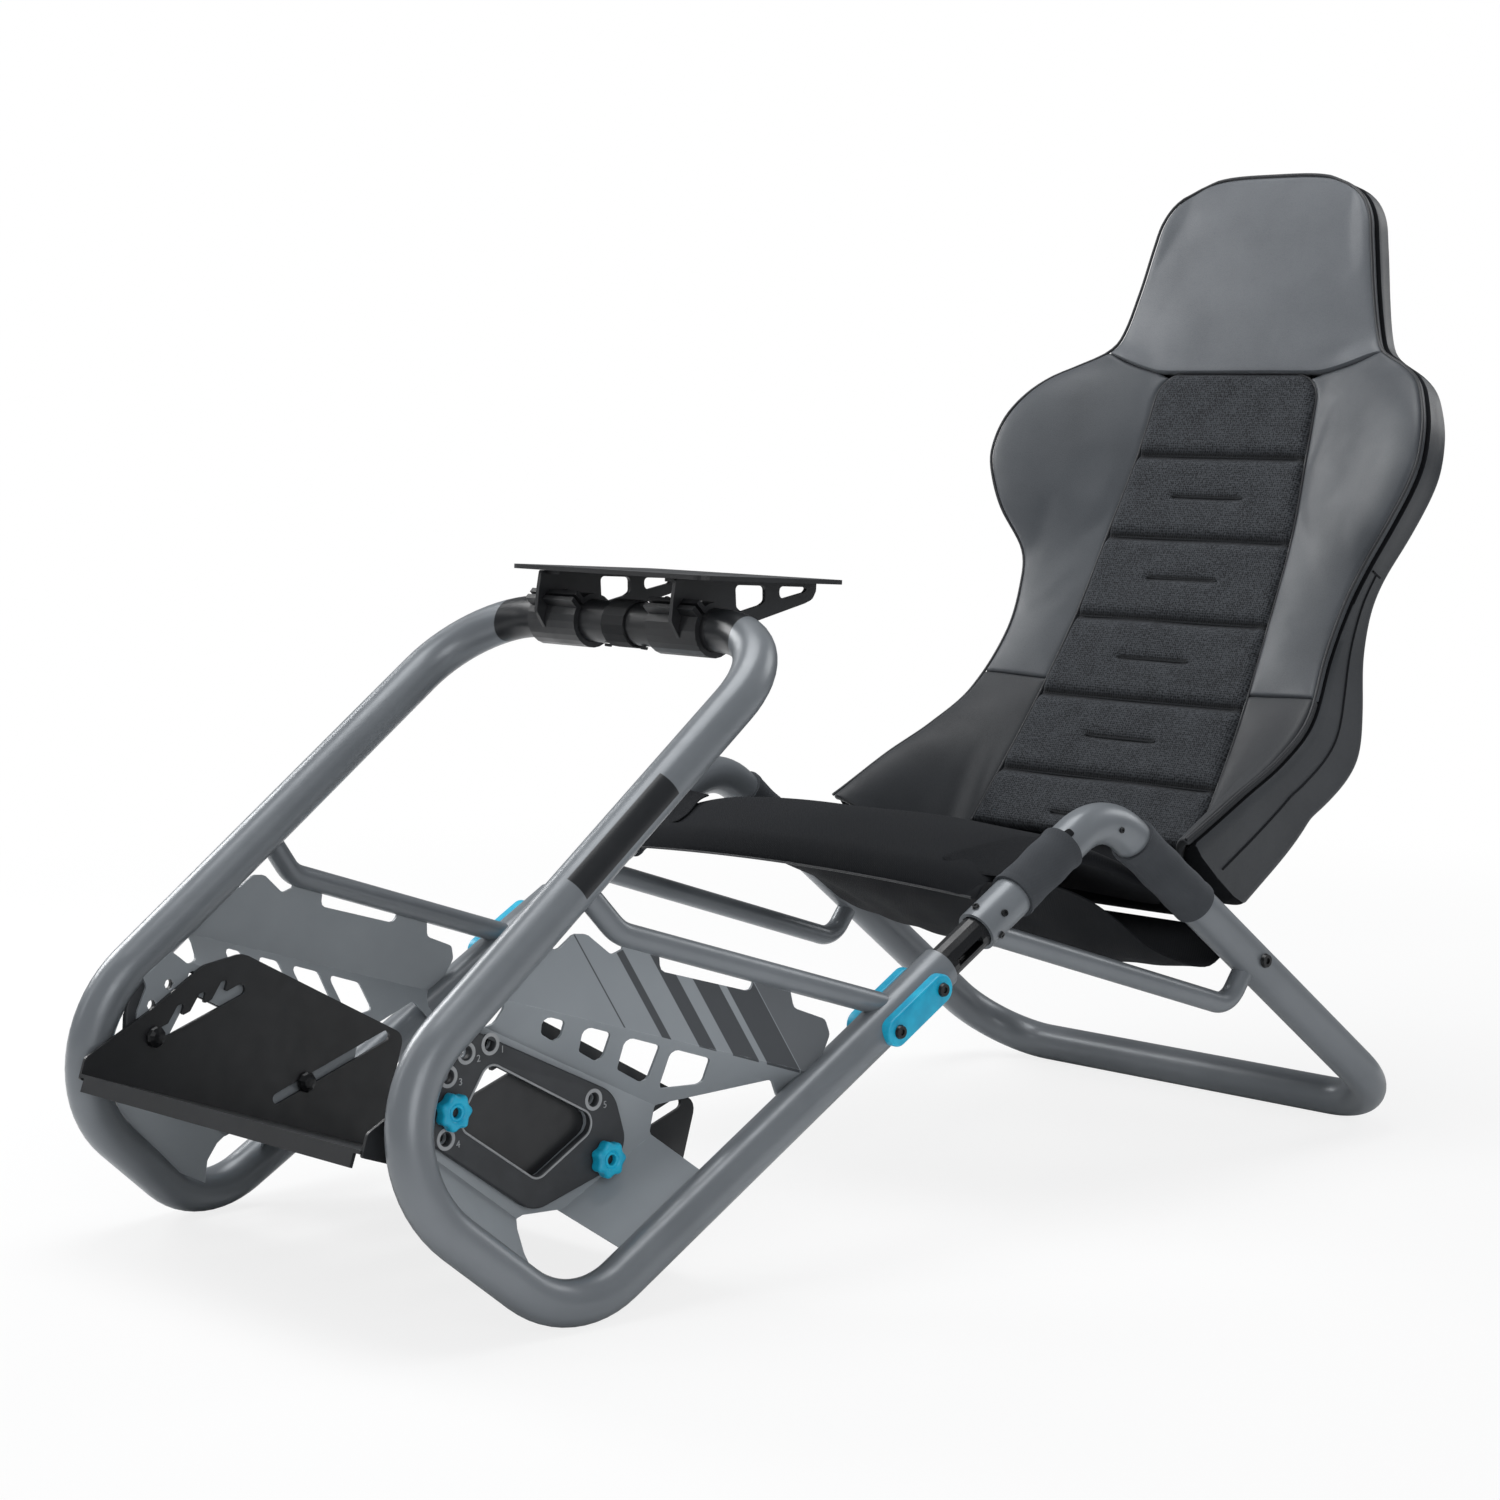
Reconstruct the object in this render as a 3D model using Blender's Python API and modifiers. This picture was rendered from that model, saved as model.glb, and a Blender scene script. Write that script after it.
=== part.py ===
"""Racing simulator cockpit: a bent tube frame in two halves that telescope, a slung
fabric seat, a tilting wheel deck and a pedal plate held between two pressed panels.

Metres, +Z up. The driver faces -Y, +X is the driver's left, the floor is z = 0.
Lengths along Y are measured from where the front lower bends would cross the floor;
the finished cockpit is then moved so that the origin is below the middle of its box.
"""
import math

import bmesh
import bpy
from mathutils import Matrix, Quaternion, Vector

# ---------------------------------------------------------------- driving dimensions
GAP = 0.0003                # clearance between touching pieces
TUBE_R = 0.019              # main frame tube, 38 mm
BRACE_R = 0.0101            # brace tube, 20 mm
TUBE_SIDES = 16
BRACE_SIDES = 12

# The front half: each loop lies in a plane that leans inwards and toes outwards
FOOT_HALF = 0.2587          # half width where the plane meets y = 0, z = 0
LEAN = 0.1394               # narrowing per metre of z
LOWER_SLOPE = 0.5659        # rise of the lower tube, 29.5 degrees
TOE = LEAN * LOWER_SLOPE    # widening per metre of y; keeps the two lower tubes parallel
UPPER_SLOPE = 0.7513        # rise of the upper tube, 36.9 degrees
UPPER_RISE = 0.3085         # height of the upper tube at y = 0
CROSSBAR_Y = 0.2921
NOSE_Y = -0.1909            # corner of the front bend
FOOT_Y = 0.0021             # corner of the floor bend
TOP_BEND, NOSE_BEND, FOOT_BEND = 0.0902, 0.1051, 0.0817
LOOP_END_Y = 0.420          # rear end of the loop's lower tube
LOOP_BORE = 0.225           # depth of the bore that the slide tube enters

# The rear half
REAR_START_Y = 0.466        # front end of the rear half's tube
HIP_Y = 0.6307
HIP_BEND = 0.065
HEEL_Y = 1.0683             # the floor bar
HEEL_HALF = 0.2718
HEEL_BEND = 0.080
REAR_SOCKET = 0.060         # depth of the socket for the slide tube

# Slide tubes between the halves
SLIDE_R = 0.0155
SLIDE_WALL = 0.0025
SLIDE_INSERT = 0.160        # length inside the loop's lower tube
SLIDE_SLOT = (0.034, 0.007)

# Braces: straight runs given by their height on the loop plane and a slope
FRONT_BRACE = dict(y=0.112, z=0.292, slope=-0.328, top_y=0.048, corner_y=0.083, bend=0.035)
REAR_BRACE = dict(y=0.600, z=0.2224, slope=-0.3247, corner_y=0.806, end_y=0.838, bend=0.026)

# Pressed side panels
SHEET = 0.0025
PAN_X = 0.2020              # middle of the sheet on the recessed floor
FOLD_TOP = ((-0.0265, 0.2622), (0.2544, 0.1680))
FOLD_SHELF = ((-0.0323, 0.2349), (0.1414, 0.1481))
FOLD_GUSSET = ((0.0381, 0.0786), (0.1349, 0.1250))
FOLD_NOSE = ((-0.0826, 0.1361), (-0.0096, 0.0811))

# Pedal plate, its ears and its two pairs of bolts
PEDAL_SHEET = 0.003
EAR_X = 0.1985              # middle of each ear
PEDAL_FRONT = (-0.1570, 0.1560)
PEDAL_TILT = math.radians(-20.0)
PEDAL_LENGTH = 0.350
PEDAL_LIP = 0.014
SLOT_TILT = math.radians(18.5)
SLOT_WIDTH = 0.0100
BOLT_R = 0.0040
FRONT_BOLT = (-0.0810, 0.1790)
REAR_BOLT = (0.0770, 0.1165)
FRONT_SLOT = (0.000, 0.094)     # reach of the slot before and behind its bolt
REAR_SLOT = (-0.033, 0.094)
COVER_THICK = 0.007
KNOB_R = 0.0155
KNOB_THICK = 0.012

# Wheel deck
DECK_TILT = math.radians(-3.7)
DECK_HALF = 0.130
DECK_FRONT, DECK_REAR = -0.034, 0.140
DECK_LIFT = 0.0450          # middle of the plate above the crossbar axis
DECK_SHEET = 0.004
BRACKET_X = 0.090
CLAMP_X = 0.080
CLAMP_LENGTH = 0.064
CLAMP_WALL = 0.005
CROSSBAR_HALF = 0.1175
COLLAR_HALF = 0.0145
COLLAR_WALL = 0.0025

# Backrest: its middle line is an arc in side view, and a station s is a length along it
BACK_Y, BACK_Z = 1.0565, 0.5365
BACK_ANGLE = math.radians(63.2)
BACK_RADIUS = 1.48
# station, half width of the outline, how far the edge stands forward
OUTLINE = ((-0.360, 0.2350, 0.112), (-0.272, 0.2345, 0.072), (-0.208, 0.2310, 0.036),
           (-0.150, 0.2240, 0.010), (-0.076, 0.2120, 0.004), (-0.019, 0.2150, 0.006),
           (0.020, 0.2260, 0.010), (0.060, 0.2560, 0.030), (0.096, 0.2745, 0.040),
           (0.123, 0.2810, 0.044), (0.160, 0.2760, 0.043), (0.190, 0.2620, 0.036),
           (0.215, 0.2420, 0.024), (0.234, 0.2130, 0.012), (0.248, 0.1840, 0.008),
           (0.265, 0.1700, 0.004), (0.314, 0.1545, 0.006), (0.369, 0.1420, 0.008),
           (0.395, 0.1350, 0.007), (0.418, 0.1190, 0.004), (0.432, 0.1000, -0.002),
           (0.441, 0.0780, -0.010))
# station and depth of the back surface behind the middle line
REAR_SURFACE = ((-0.400, -0.030), (-0.339, -0.050), (-0.240, -0.082), (-0.150, -0.098),
                (-0.096, -0.086), (-0.049, -0.062), (0.000, -0.046), (0.060, -0.040),
                (0.250, -0.034), (0.400, -0.034), (0.441, -0.030))
PANEL_HALF = ((-0.330, 0.150), (-0.234, 0.1435), (-0.045, 0.127), (0.045, 0.1215),
              (0.136, 0.111), (0.228, 0.104))
PANEL_TOP, PANEL_BOTTOM = 0.228, -0.300
PANEL_CORNER = 0.024
CHANNEL_FIRST, CHANNEL_PITCH, CHANNEL_COUNT = 0.136, 0.0925, 5
CHANNEL_DEPTH, CHANNEL_WIDTH = 0.007, 0.012
SEAM_WIDTH = 0.0012
BOLSTER_BOTTOM = -0.125
WING_BOTTOM = -0.356

# Seat cushion: top line in side view, and the sling below it
SEAT_LINE = ((0.492, 0.300), (0.500, 0.316), (0.530, 0.327), (0.565, 0.335), (0.600, 0.337),
             (0.650, 0.329), (0.710, 0.307), (0.770, 0.285), (0.820, 0.270), (0.848, 0.262))
SEAT_HALF = 0.2352
SEAT_TAPER, SEAT_END_HALF = 0.760, 0.150    # where the pan narrows, and its rear half width
SEAT_THICK = 0.026
SEAT_CROWN = 0.007
# station along y, height in the middle and height at the sides
SLING_LINE = ((0.545, 0.3040, 0.3005), (0.575, 0.2870, 0.2950), (0.620, 0.2550, 0.2850),
              (0.680, 0.2260, 0.2620), (0.720, 0.2070, 0.2400), (0.760, 0.1900, 0.2130),
              (0.800, 0.1800, 0.1940), (0.850, 0.1740, 0.1820), (0.878, 0.1880, 0.1940),
              (0.8938, 0.2117, 0.2117))
SLING_HALF = 0.205
SLING_THICK = 0.004
SLEEVE_THICK = 0.0035
FRONT_SLEEVE = (0.512, 0.5775)
REAR_SLEEVE = (0.672, 0.7585)

COLLECTION = "racing_seat"
COLOURS = {                       # base colour, roughness, metallic
    "frame": ((0.19, 0.21, 0.23), 0.38, 0.5),
    "sheet": ((0.17, 0.19, 0.21), 0.50, 0.4),
    "black_metal": ((0.02, 0.021, 0.023), 0.45, 0.6),
    "black_plastic": ((0.03, 0.032, 0.035), 0.55, 0.0),
    "cyan": ((0.02, 0.42, 0.62), 0.40, 0.0),
    "leather": ((0.15, 0.16, 0.17), 0.55, 0.0),
    "fabric": ((0.025, 0.027, 0.03), 0.90, 0.0),
    "mesh": ((0.035, 0.038, 0.04), 0.95, 0.0),
}

# side view (y, z) drawn flat, with the plate's thickness along X
SIDE_VIEW = Matrix(((0, 0, 1, 0), (1, 0, 0, 0), (0, 1, 0, 0), (0, 0, 0, 1)))


# ---------------------------------------------------------------- scene and helpers
def clear_scene():
    for obj in list(bpy.data.objects):
        bpy.data.objects.remove(obj, do_unlink=True)


def new_collection(name):
    group = bpy.data.collections.new(name)
    bpy.context.scene.collection.children.link(group)
    return group


clear_scene()
PARTS = new_collection(COLLECTION)
CUTTERS = new_collection("cutters")


def finish_material(node, kind):
    colour, roughness, metallic = COLOURS[kind]
    material = bpy.data.materials.new(node + "_" + kind)
    material.use_nodes = True
    shader = material.node_tree.nodes["Principled BSDF"]
    shader.inputs["Base Color"].default_value = (*colour, 1.0)
    shader.inputs["Roughness"].default_value = roughness
    shader.inputs["Metallic"].default_value = metallic
    return material


def add_object(name, mesh, kind, smooth=False):
    """Links a mesh as a finished node, or as a cutter when kind is None."""
    obj = bpy.data.objects.new(name, mesh)
    if kind is None:
        CUTTERS.objects.link(obj)
        obj.hide_render = True
        obj.display_type = "WIRE"
        return obj
    PARTS.objects.link(obj)
    mesh.materials.clear()
    mesh.materials.append(finish_material(name, kind))
    if smooth:
        mesh.shade_smooth()
        mesh.set_sharp_from_angle(angle=math.radians(35))
    return obj


def face_outwards(bm):
    bmesh.ops.recalc_face_normals(bm, faces=bm.faces)
    if bm.calc_volume(signed=True) < 0:
        bmesh.ops.reverse_faces(bm, faces=bm.faces)


def mesh_from_curve(name, curve, kind, matrix=None, smooth=False):
    """Turns a curve into a closed mesh: its caps and rims are welded."""
    path = bpy.data.objects.new(name + "_curve", curve)
    if matrix is not None:
        path.matrix_world = matrix
    CUTTERS.objects.link(path)
    bpy.context.view_layer.update()
    view = bpy.context.evaluated_depsgraph_get()
    mesh = bpy.data.meshes.new_from_object(path.evaluated_get(view))
    bm = bmesh.new()
    bm.from_mesh(mesh)
    bmesh.ops.remove_doubles(bm, verts=bm.verts, dist=0.00002)
    bm.transform(path.matrix_world)
    face_outwards(bm)
    bm.to_mesh(mesh)
    bm.free()
    bpy.data.objects.remove(path, do_unlink=True)
    return add_object(name, mesh, kind, smooth)


def tube(name, path, radius, sides, kind):
    curve = bpy.data.curves.new(name, "CURVE")
    curve.dimensions = "3D"
    curve.bevel_depth = radius
    curve.bevel_resolution = (sides - 4) // 2
    curve.use_fill_caps = True
    spline = curve.splines.new("POLY")
    spline.points.add(len(path) - 1)
    for point, place in zip(spline.points, path):
        point.co = (*place, 1.0)
    return mesh_from_curve(name, curve, kind, smooth=True)


def plate(name, outlines, thickness, kind, matrix=None, smooth=False):
    """A flat outline, with any holes, extruded evenly about its own plane."""
    curve = bpy.data.curves.new(name, "CURVE")
    curve.dimensions = "2D"
    curve.fill_mode = "BOTH"
    curve.extrude = thickness / 2
    for outline in outlines:
        spline = curve.splines.new("POLY")
        spline.points.add(len(outline) - 1)
        for point, place in zip(spline.points, outline):
            point.co = (place[0], place[1], 0.0, 1.0)
        spline.use_cyclic_u = True
    return mesh_from_curve(name, curve, kind, matrix, smooth)


def axis_matrix(start, end):
    """A frame at the middle of start and end, with Z along them."""
    direction = Vector(end) - Vector(start)
    turn = Vector((0, 0, 1)).rotation_difference(direction)
    return Matrix.Translation((Vector(start) + Vector(end)) / 2) @ turn.to_matrix().to_4x4()


def circle(radius, count, centre=(0.0, 0.0)):
    steps = (2 * math.pi * k / count for k in range(count))
    return [Vector((centre[0] + radius * math.cos(a), centre[1] + radius * math.sin(a), 0))
            for a in steps]


def rod(name, start, end, radius, kind, sides=16, end_radius=None):
    length = (Vector(end) - Vector(start)).length
    bm = bmesh.new()
    bmesh.ops.create_cone(bm, cap_ends=True, segments=sides, radius1=radius,
                          radius2=radius if end_radius is None else end_radius,
                          depth=length, matrix=axis_matrix(start, end))
    mesh = bpy.data.meshes.new(name)
    bm.to_mesh(mesh)
    bm.free()
    return add_object(name, mesh, kind, smooth=True)


def sleeve(name, start, end, outer, inner, kind, sides=TUBE_SIDES):
    """A straight pipe: two circles extruded over its length."""
    length = (Vector(end) - Vector(start)).length
    rings = [circle(outer, sides), circle(inner / math.cos(math.pi / sides), sides)]
    return plate(name, rings, length, kind, axis_matrix(start, end), smooth=True)


def box(name, size, centre, kind, matrix=None):
    bm = bmesh.new()
    bmesh.ops.create_cube(bm, size=1.0)
    bmesh.ops.scale(bm, vec=size, verts=bm.verts)
    bmesh.ops.translate(bm, vec=centre, verts=bm.verts)
    if matrix is not None:
        bm.transform(matrix)
    mesh = bpy.data.meshes.new(name)
    bm.to_mesh(mesh)
    bm.free()
    return add_object(name, mesh, kind)


def boolean(target, tool, operation="DIFFERENCE"):
    """Cuts a target with a tool, or joins them, and keeps the tool as a cutter."""
    modifier = target.modifiers.new(operation.lower() + "_" + tool.name, "BOOLEAN")
    modifier.operation = operation
    modifier.object = tool
    modifier.solver = "EXACT"


def bolt(name, seat, direction, shank_length, kind="black_metal", radius=BOLT_R, head=None):
    """A domed head on its seat with a shank behind it, turned about the direction."""
    head = head or radius * 2.1
    height = head * 0.62
    steps = 3
    profile = [(0.0, height)]
    for k in range(1, steps + 1):
        angle = math.pi / 2 * k / steps
        profile.append((head * math.sin(angle), height * (0.35 + 0.65 * math.cos(angle))))
    profile.append((head, 0.0))
    if shank_length > 0:
        profile += [(radius, 0.0), (radius, -shank_length)]
    profile.append((0.0, profile[-1][1]))
    mesh = bpy.data.meshes.new(name)
    mesh.from_pydata([(r, 0.0, z) for r, z in profile], [(k, k + 1) for k in range(len(profile) - 1)],
                     [])
    obj = add_object(name, mesh, kind)
    screw = obj.modifiers.new("turned", "SCREW")
    screw.axis = "Z"
    screw.steps = screw.render_steps = 10
    screw.use_merge_vertices = True
    screw.merge_threshold = 0.00005
    turn = Vector((0, 0, 1)).rotation_difference(Vector(direction))
    obj.matrix_world = Matrix.Translation(Vector(seat)) @ turn.to_matrix().to_4x4()
    return obj


def fillet(points, radii, closed=False, step=math.radians(15)):
    """Replaces the corners of a line by arcs; each radius is limited by its two runs."""
    corners = [Vector((*p, 0.0)) if len(p) == 2 else Vector(p) for p in points]
    if not isinstance(radii, (list, tuple)):
        radii = [radii] * len(corners)
    line = []
    count = len(corners)
    sharp = [radii[k] <= 0 or (not closed and k in (0, count - 1)) for k in range(count)]
    for k, corner in enumerate(corners):
        following = (k + 1) % count
        before = corners[k - 1] - corner
        after = corners[following] - corner
        half = 0.0 if sharp[k] else before.angle(after) / 2
        if sharp[k] or half > math.radians(88):
            line.append(corner)
            continue
        reach = min(radii[k] / math.tan(half), before.length * (0.98 if sharp[k - 1] else 0.49),
                    after.length * (0.98 if sharp[following] else 0.49))
        radius = reach * math.tan(half)
        middle = (before.normalized() + after.normalized()).normalized()
        centre = corner + middle * (radius / math.sin(half))
        first = corner + before.normalized() * reach - centre
        last = corner + after.normalized() * reach - centre
        axis = first.cross(last).normalized()
        turn = math.pi - 2 * half
        steps = max(1, math.ceil(turn / step))
        for j in range(steps + 1):
            line.append(centre + Quaternion(axis, turn * j / steps) @ first)
    return line


def smooth_table(table, where):
    """Catmull-Rom curve through rows of (station, value, ...), read at one station."""
    where = min(max(where, table[0][0]), table[-1][0])
    k = max(i for i in range(len(table) - 1) if table[i][0] <= where + 1e-12)
    a, b, c, d = (table[min(max(j, 0), len(table) - 1)] for j in (k - 1, k, k + 1, k + 2))
    span = c[0] - b[0]
    t = (where - b[0]) / span
    values = []
    for p, q, r, s in zip(a[1:], b[1:], c[1:], d[1:]):
        into = (r - p) / max(c[0] - a[0], 1e-9) * span
        out = (s - q) / max(d[0] - b[0], 1e-9) * span
        values.append((2 * t**3 - 3 * t**2 + 1) * q + (t**3 - 2 * t**2 + t) * into
                      + (3 * t**2 - 2 * t**3) * r + (t**3 - t**2) * out)
    return values[0] if len(values) == 1 else values


def mirrored(point, side):
    return Vector((side * point[0], point[1], point[2]))


SIDES = (("left", 1), ("right", -1))


# ---------------------------------------------------------------- frame lines
def loop_x(y, z):
    return FOOT_HALF + TOE * y - LEAN * z


def on_loop(y, z, side=1):
    return Vector((side * loop_x(y, z), y, z))


def on_lower(y, side=1):
    return on_loop(y, LOWER_SLOPE * y, side)


def on_upper(y, side=1):
    return on_loop(y, UPPER_RISE + UPPER_SLOPE * y, side)


LOWER_WAY = (on_lower(1.0) - on_lower(0.0)).normalized()


def along_lower(y, distance, side=1):
    """A point on the lower tube's line, a distance up it from the given y."""
    return on_lower(y, side) + mirrored(LOWER_WAY, side) * distance


def loop_path(side):
    """The loop's centre line; the floor corner is set so that the bend rests on z = 0."""
    top = on_upper(CROSSBAR_Y)
    nose = on_upper(NOSE_Y)
    foot_z = 0.0
    for _ in range(4):
        corners = [Vector((CROSSBAR_HALF + GAP, CROSSBAR_Y, top.z)), top, nose,
                   on_loop(FOOT_Y, foot_z), on_lower(LOOP_END_Y)]
        line = fillet(corners, [0, TOP_BEND, NOSE_BEND, FOOT_BEND, 0])
        foot_z += TUBE_R - min(p.z for p in line)
    return [mirrored(p, side) for p in line]


HIP = on_lower(HIP_Y)


def leg_point(y, side=1):
    """A point on the straight rear leg."""
    heel = Vector((HEEL_HALF, HEEL_Y, TUBE_R))
    share = (y - HIP_Y) / (HEEL_Y - HIP_Y)
    return mirrored(HIP.lerp(heel, share), side)


def rear_path():
    half = [on_lower(REAR_START_Y), HIP, Vector((HEEL_HALF, HEEL_Y, TUBE_R))]
    corners = half + [mirrored(p, -1) for p in reversed(half)]
    return fillet(corners, [0, HIP_BEND, HEEL_BEND, HEEL_BEND, HIP_BEND, 0])


def front_brace_path(side):
    b = FRONT_BRACE
    level = lambda y: b["z"] + b["slope"] * (y - b["y"])
    end_y = (b["z"] - b["slope"] * b["y"]) / (LOWER_SLOPE - b["slope"])
    corners = [on_upper(b["top_y"]), on_loop(b["corner_y"], level(b["corner_y"])), on_lower(end_y)]
    return [mirrored(p, side) for p in fillet(corners, b["bend"])]


def rear_brace_path(side):
    b = REAR_BRACE
    level = lambda y: b["z"] + b["slope"] * (y - b["y"])
    start_y = (b["z"] - b["slope"] * b["y"]) / (LOWER_SLOPE - b["slope"])
    end = leg_point(b["end_y"])
    corner = Vector((end.x, b["corner_y"], level(b["corner_y"])))
    return [mirrored(p, side) for p in fillet([on_lower(start_y), corner, end], b["bend"])]


# ---------------------------------------------------------------- frame
def bore(target, start, end, radius, sides=TUBE_SIDES):
    cutter = rod(target.name + "_bore", start, end, radius / math.cos(math.pi / sides), None, sides)
    boolean(target, cutter)


def build_front_loops():
    for name, side in SIDES:
        loop = tube("front_loop_" + name, loop_path(side), TUBE_R, TUBE_SIDES, "frame")
        mouth = along_lower(LOOP_END_Y, 0.01, side)
        depth = along_lower(LOOP_END_Y, -LOOP_BORE, side)
        bore(loop, depth, mouth, SLIDE_R + GAP)


def build_rear_frame():
    frame = tube("rear_frame_tube", rear_path(), TUBE_R, TUBE_SIDES, "frame")
    for name, side in SIDES:
        mouth = along_lower(REAR_START_Y, -0.01, side)
        depth = along_lower(REAR_START_Y, REAR_SOCKET, side)
        cutter = rod("rear_socket_" + name, depth, mouth,
                     (SLIDE_R + GAP) / math.cos(math.pi / TUBE_SIDES), None, TUBE_SIDES)
        boolean(frame, cutter)


def build_slide_tubes():
    for name, side in SIDES:
        start = along_lower(LOOP_END_Y, -SLIDE_INSERT, side)
        end = along_lower(REAR_START_Y, REAR_SOCKET - GAP, side)
        pipe = sleeve("slide_tube_" + name, start, end, SLIDE_R, SLIDE_R - SLIDE_WALL, "black_metal")
        middle = (on_lower(LOOP_END_Y, side) + on_lower(REAR_START_Y, side)) / 2
        length, width = SLIDE_SLOT
        way = mirrored(LOWER_WAY, side)
        outward = Vector((side, 0, 0))
        across = way.cross(outward).normalized()
        turn = Matrix((way, across, way.cross(across))).transposed().to_4x4()
        slot = box("slide_slot_" + name, (length, width, 4 * SLIDE_R), (0, 0, 0), None,
                   Matrix.Translation(middle) @ turn)
        boolean(pipe, slot)


def build_braces():
    for name, side in SIDES:
        front = tube("front_brace_" + name, front_brace_path(side), BRACE_R, BRACE_SIDES, "frame")
        boolean(front, LOOP_CUTTERS[side])
        rear = tube("rear_brace_" + name, rear_brace_path(side), BRACE_R, BRACE_SIDES, "frame")
        boolean(rear, REAR_CUTTER)


def build_crossbar():
    bar_z = on_upper(CROSSBAR_Y).z
    left = Vector((CROSSBAR_HALF, CROSSBAR_Y, bar_z))
    right = Vector((-CROSSBAR_HALF, CROSSBAR_Y, bar_z))
    rod("crossbar", right, left, TUBE_R, "black_metal", TUBE_SIDES)
    sleeve("crossbar_collar", (-COLLAR_HALF, CROSSBAR_Y, bar_z), (COLLAR_HALF, CROSSBAR_Y, bar_z),
           TUBE_R + COLLAR_WALL, TUBE_R + GAP, "black_plastic")


def build_frame_bolts():
    """Domed bolts at the ring of the telescoping joint and on each rear leg."""
    for name, side in SIDES:
        way = mirrored(LOWER_WAY, side)
        upward = Vector((side, 0, 0)).cross(way).normalized() * side
        seat = along_lower(REAR_START_Y, 0.010, side) + upward * (TUBE_R + GAP)
        bolt("slide_bolt_" + name, seat, upward, 0.0, radius=0.0022, head=0.0048)
        seat = leg_point(REAR_BRACE["end_y"], side) + Vector((side * (TUBE_R + GAP), 0, 0))
        bolt("leg_bolt_" + name, seat, (side, 0, 0), 0.0, radius=0.003, head=0.0078)


# ---------------------------------------------------------------- clamps of the slide
PLATE_LENGTH, PLATE_WIDTH, PLATE_THICK = 0.098, 0.030, 0.011


def build_slide_clamps():
    """Two long oval plates hug each lower tube, and two bolts hold each pair."""
    for name, side in SIDES:
        way = mirrored(LOWER_WAY, side)
        outward = Vector((side, 0, 0))
        outward = (outward - way * outward.dot(way)).normalized()
        across = outward.cross(way).normalized()
        middle = along_lower(LOOP_END_Y, -PLATE_LENGTH / 2 - 0.004, side)
        run = (PLATE_LENGTH - PLATE_WIDTH) / 2
        corners = [(run + PLATE_WIDTH / 2, -PLATE_WIDTH / 2), (run + PLATE_WIDTH / 2, PLATE_WIDTH / 2),
                   (-run - PLATE_WIDTH / 2, PLATE_WIDTH / 2), (-run - PLATE_WIDTH / 2, -PLATE_WIDTH / 2)]
        outline = fillet(corners, PLATE_WIDTH / 2, closed=True, step=math.radians(20))
        for label, sign in (("outer", 1), ("inner", -1)):
            turn = Matrix((way, across, outward)).transposed().to_4x4()
            place = middle + outward * sign * (TUBE_R - 0.004 + PLATE_THICK / 2)
            holes = [circle(BOLT_R + GAP, 12, (k * run, 0)) for k in (1, -1)]
            clamp = plate("slide_clamp_%s_%s" % (label, name), [outline] + holes, PLATE_THICK, "cyan",
                          Matrix.Translation(place) @ turn)
            boolean(clamp, LOOP_CUTTERS[side])
        for label, k in (("rear", 1), ("front", -1)):
            face = middle + way * k * run + outward * (TUBE_R - 0.004 + PLATE_THICK + GAP)
            bolt("clamp_bolt_%s_%s" % (label, name), face, outward, PLATE_THICK - 0.006, radius=BOLT_R,
                 head=0.0062)


# ---------------------------------------------------------------- side panels
def plane_through(p, q, r):
    """x as a function of y and z on the plane through three points (x, y, z)."""
    normal = (Vector(q) - Vector(p)).cross(Vector(r) - Vector(p))
    origin = Vector(p)
    return lambda y, z: origin.x - (normal.y * (y - origin.y) + normal.z * (z - origin.z)) / normal.x


def pan_facet(fold, y, z):
    """The facet that leaves the pan's floor at a fold and meets the loop plane at (y, z)."""
    (y1, z1), (y2, z2) = fold
    return plane_through((PAN_X, y1, z1), (PAN_X, y2, z2), (loop_x(y, z), y, z))


def fold_middle(fold):
    return (fold[0][0] + fold[1][0]) / 2, (fold[0][1] + fold[1][1]) / 2


FACETS = (
    lambda y, z: PAN_X,
    pan_facet(FOLD_SHELF, *fold_middle(FOLD_TOP)),
    pan_facet(FOLD_GUSSET, 0.130, LOWER_SLOPE * 0.130),
    pan_facet(FOLD_NOSE, -0.094, 0.083),
)


def pan_x(y, z):
    return min(loop_x(y, z), max(facet(y, z) for facet in FACETS))


def brace_level(y):
    return FRONT_BRACE["z"] + FRONT_BRACE["slope"] * (y - FRONT_BRACE["y"])


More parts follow.
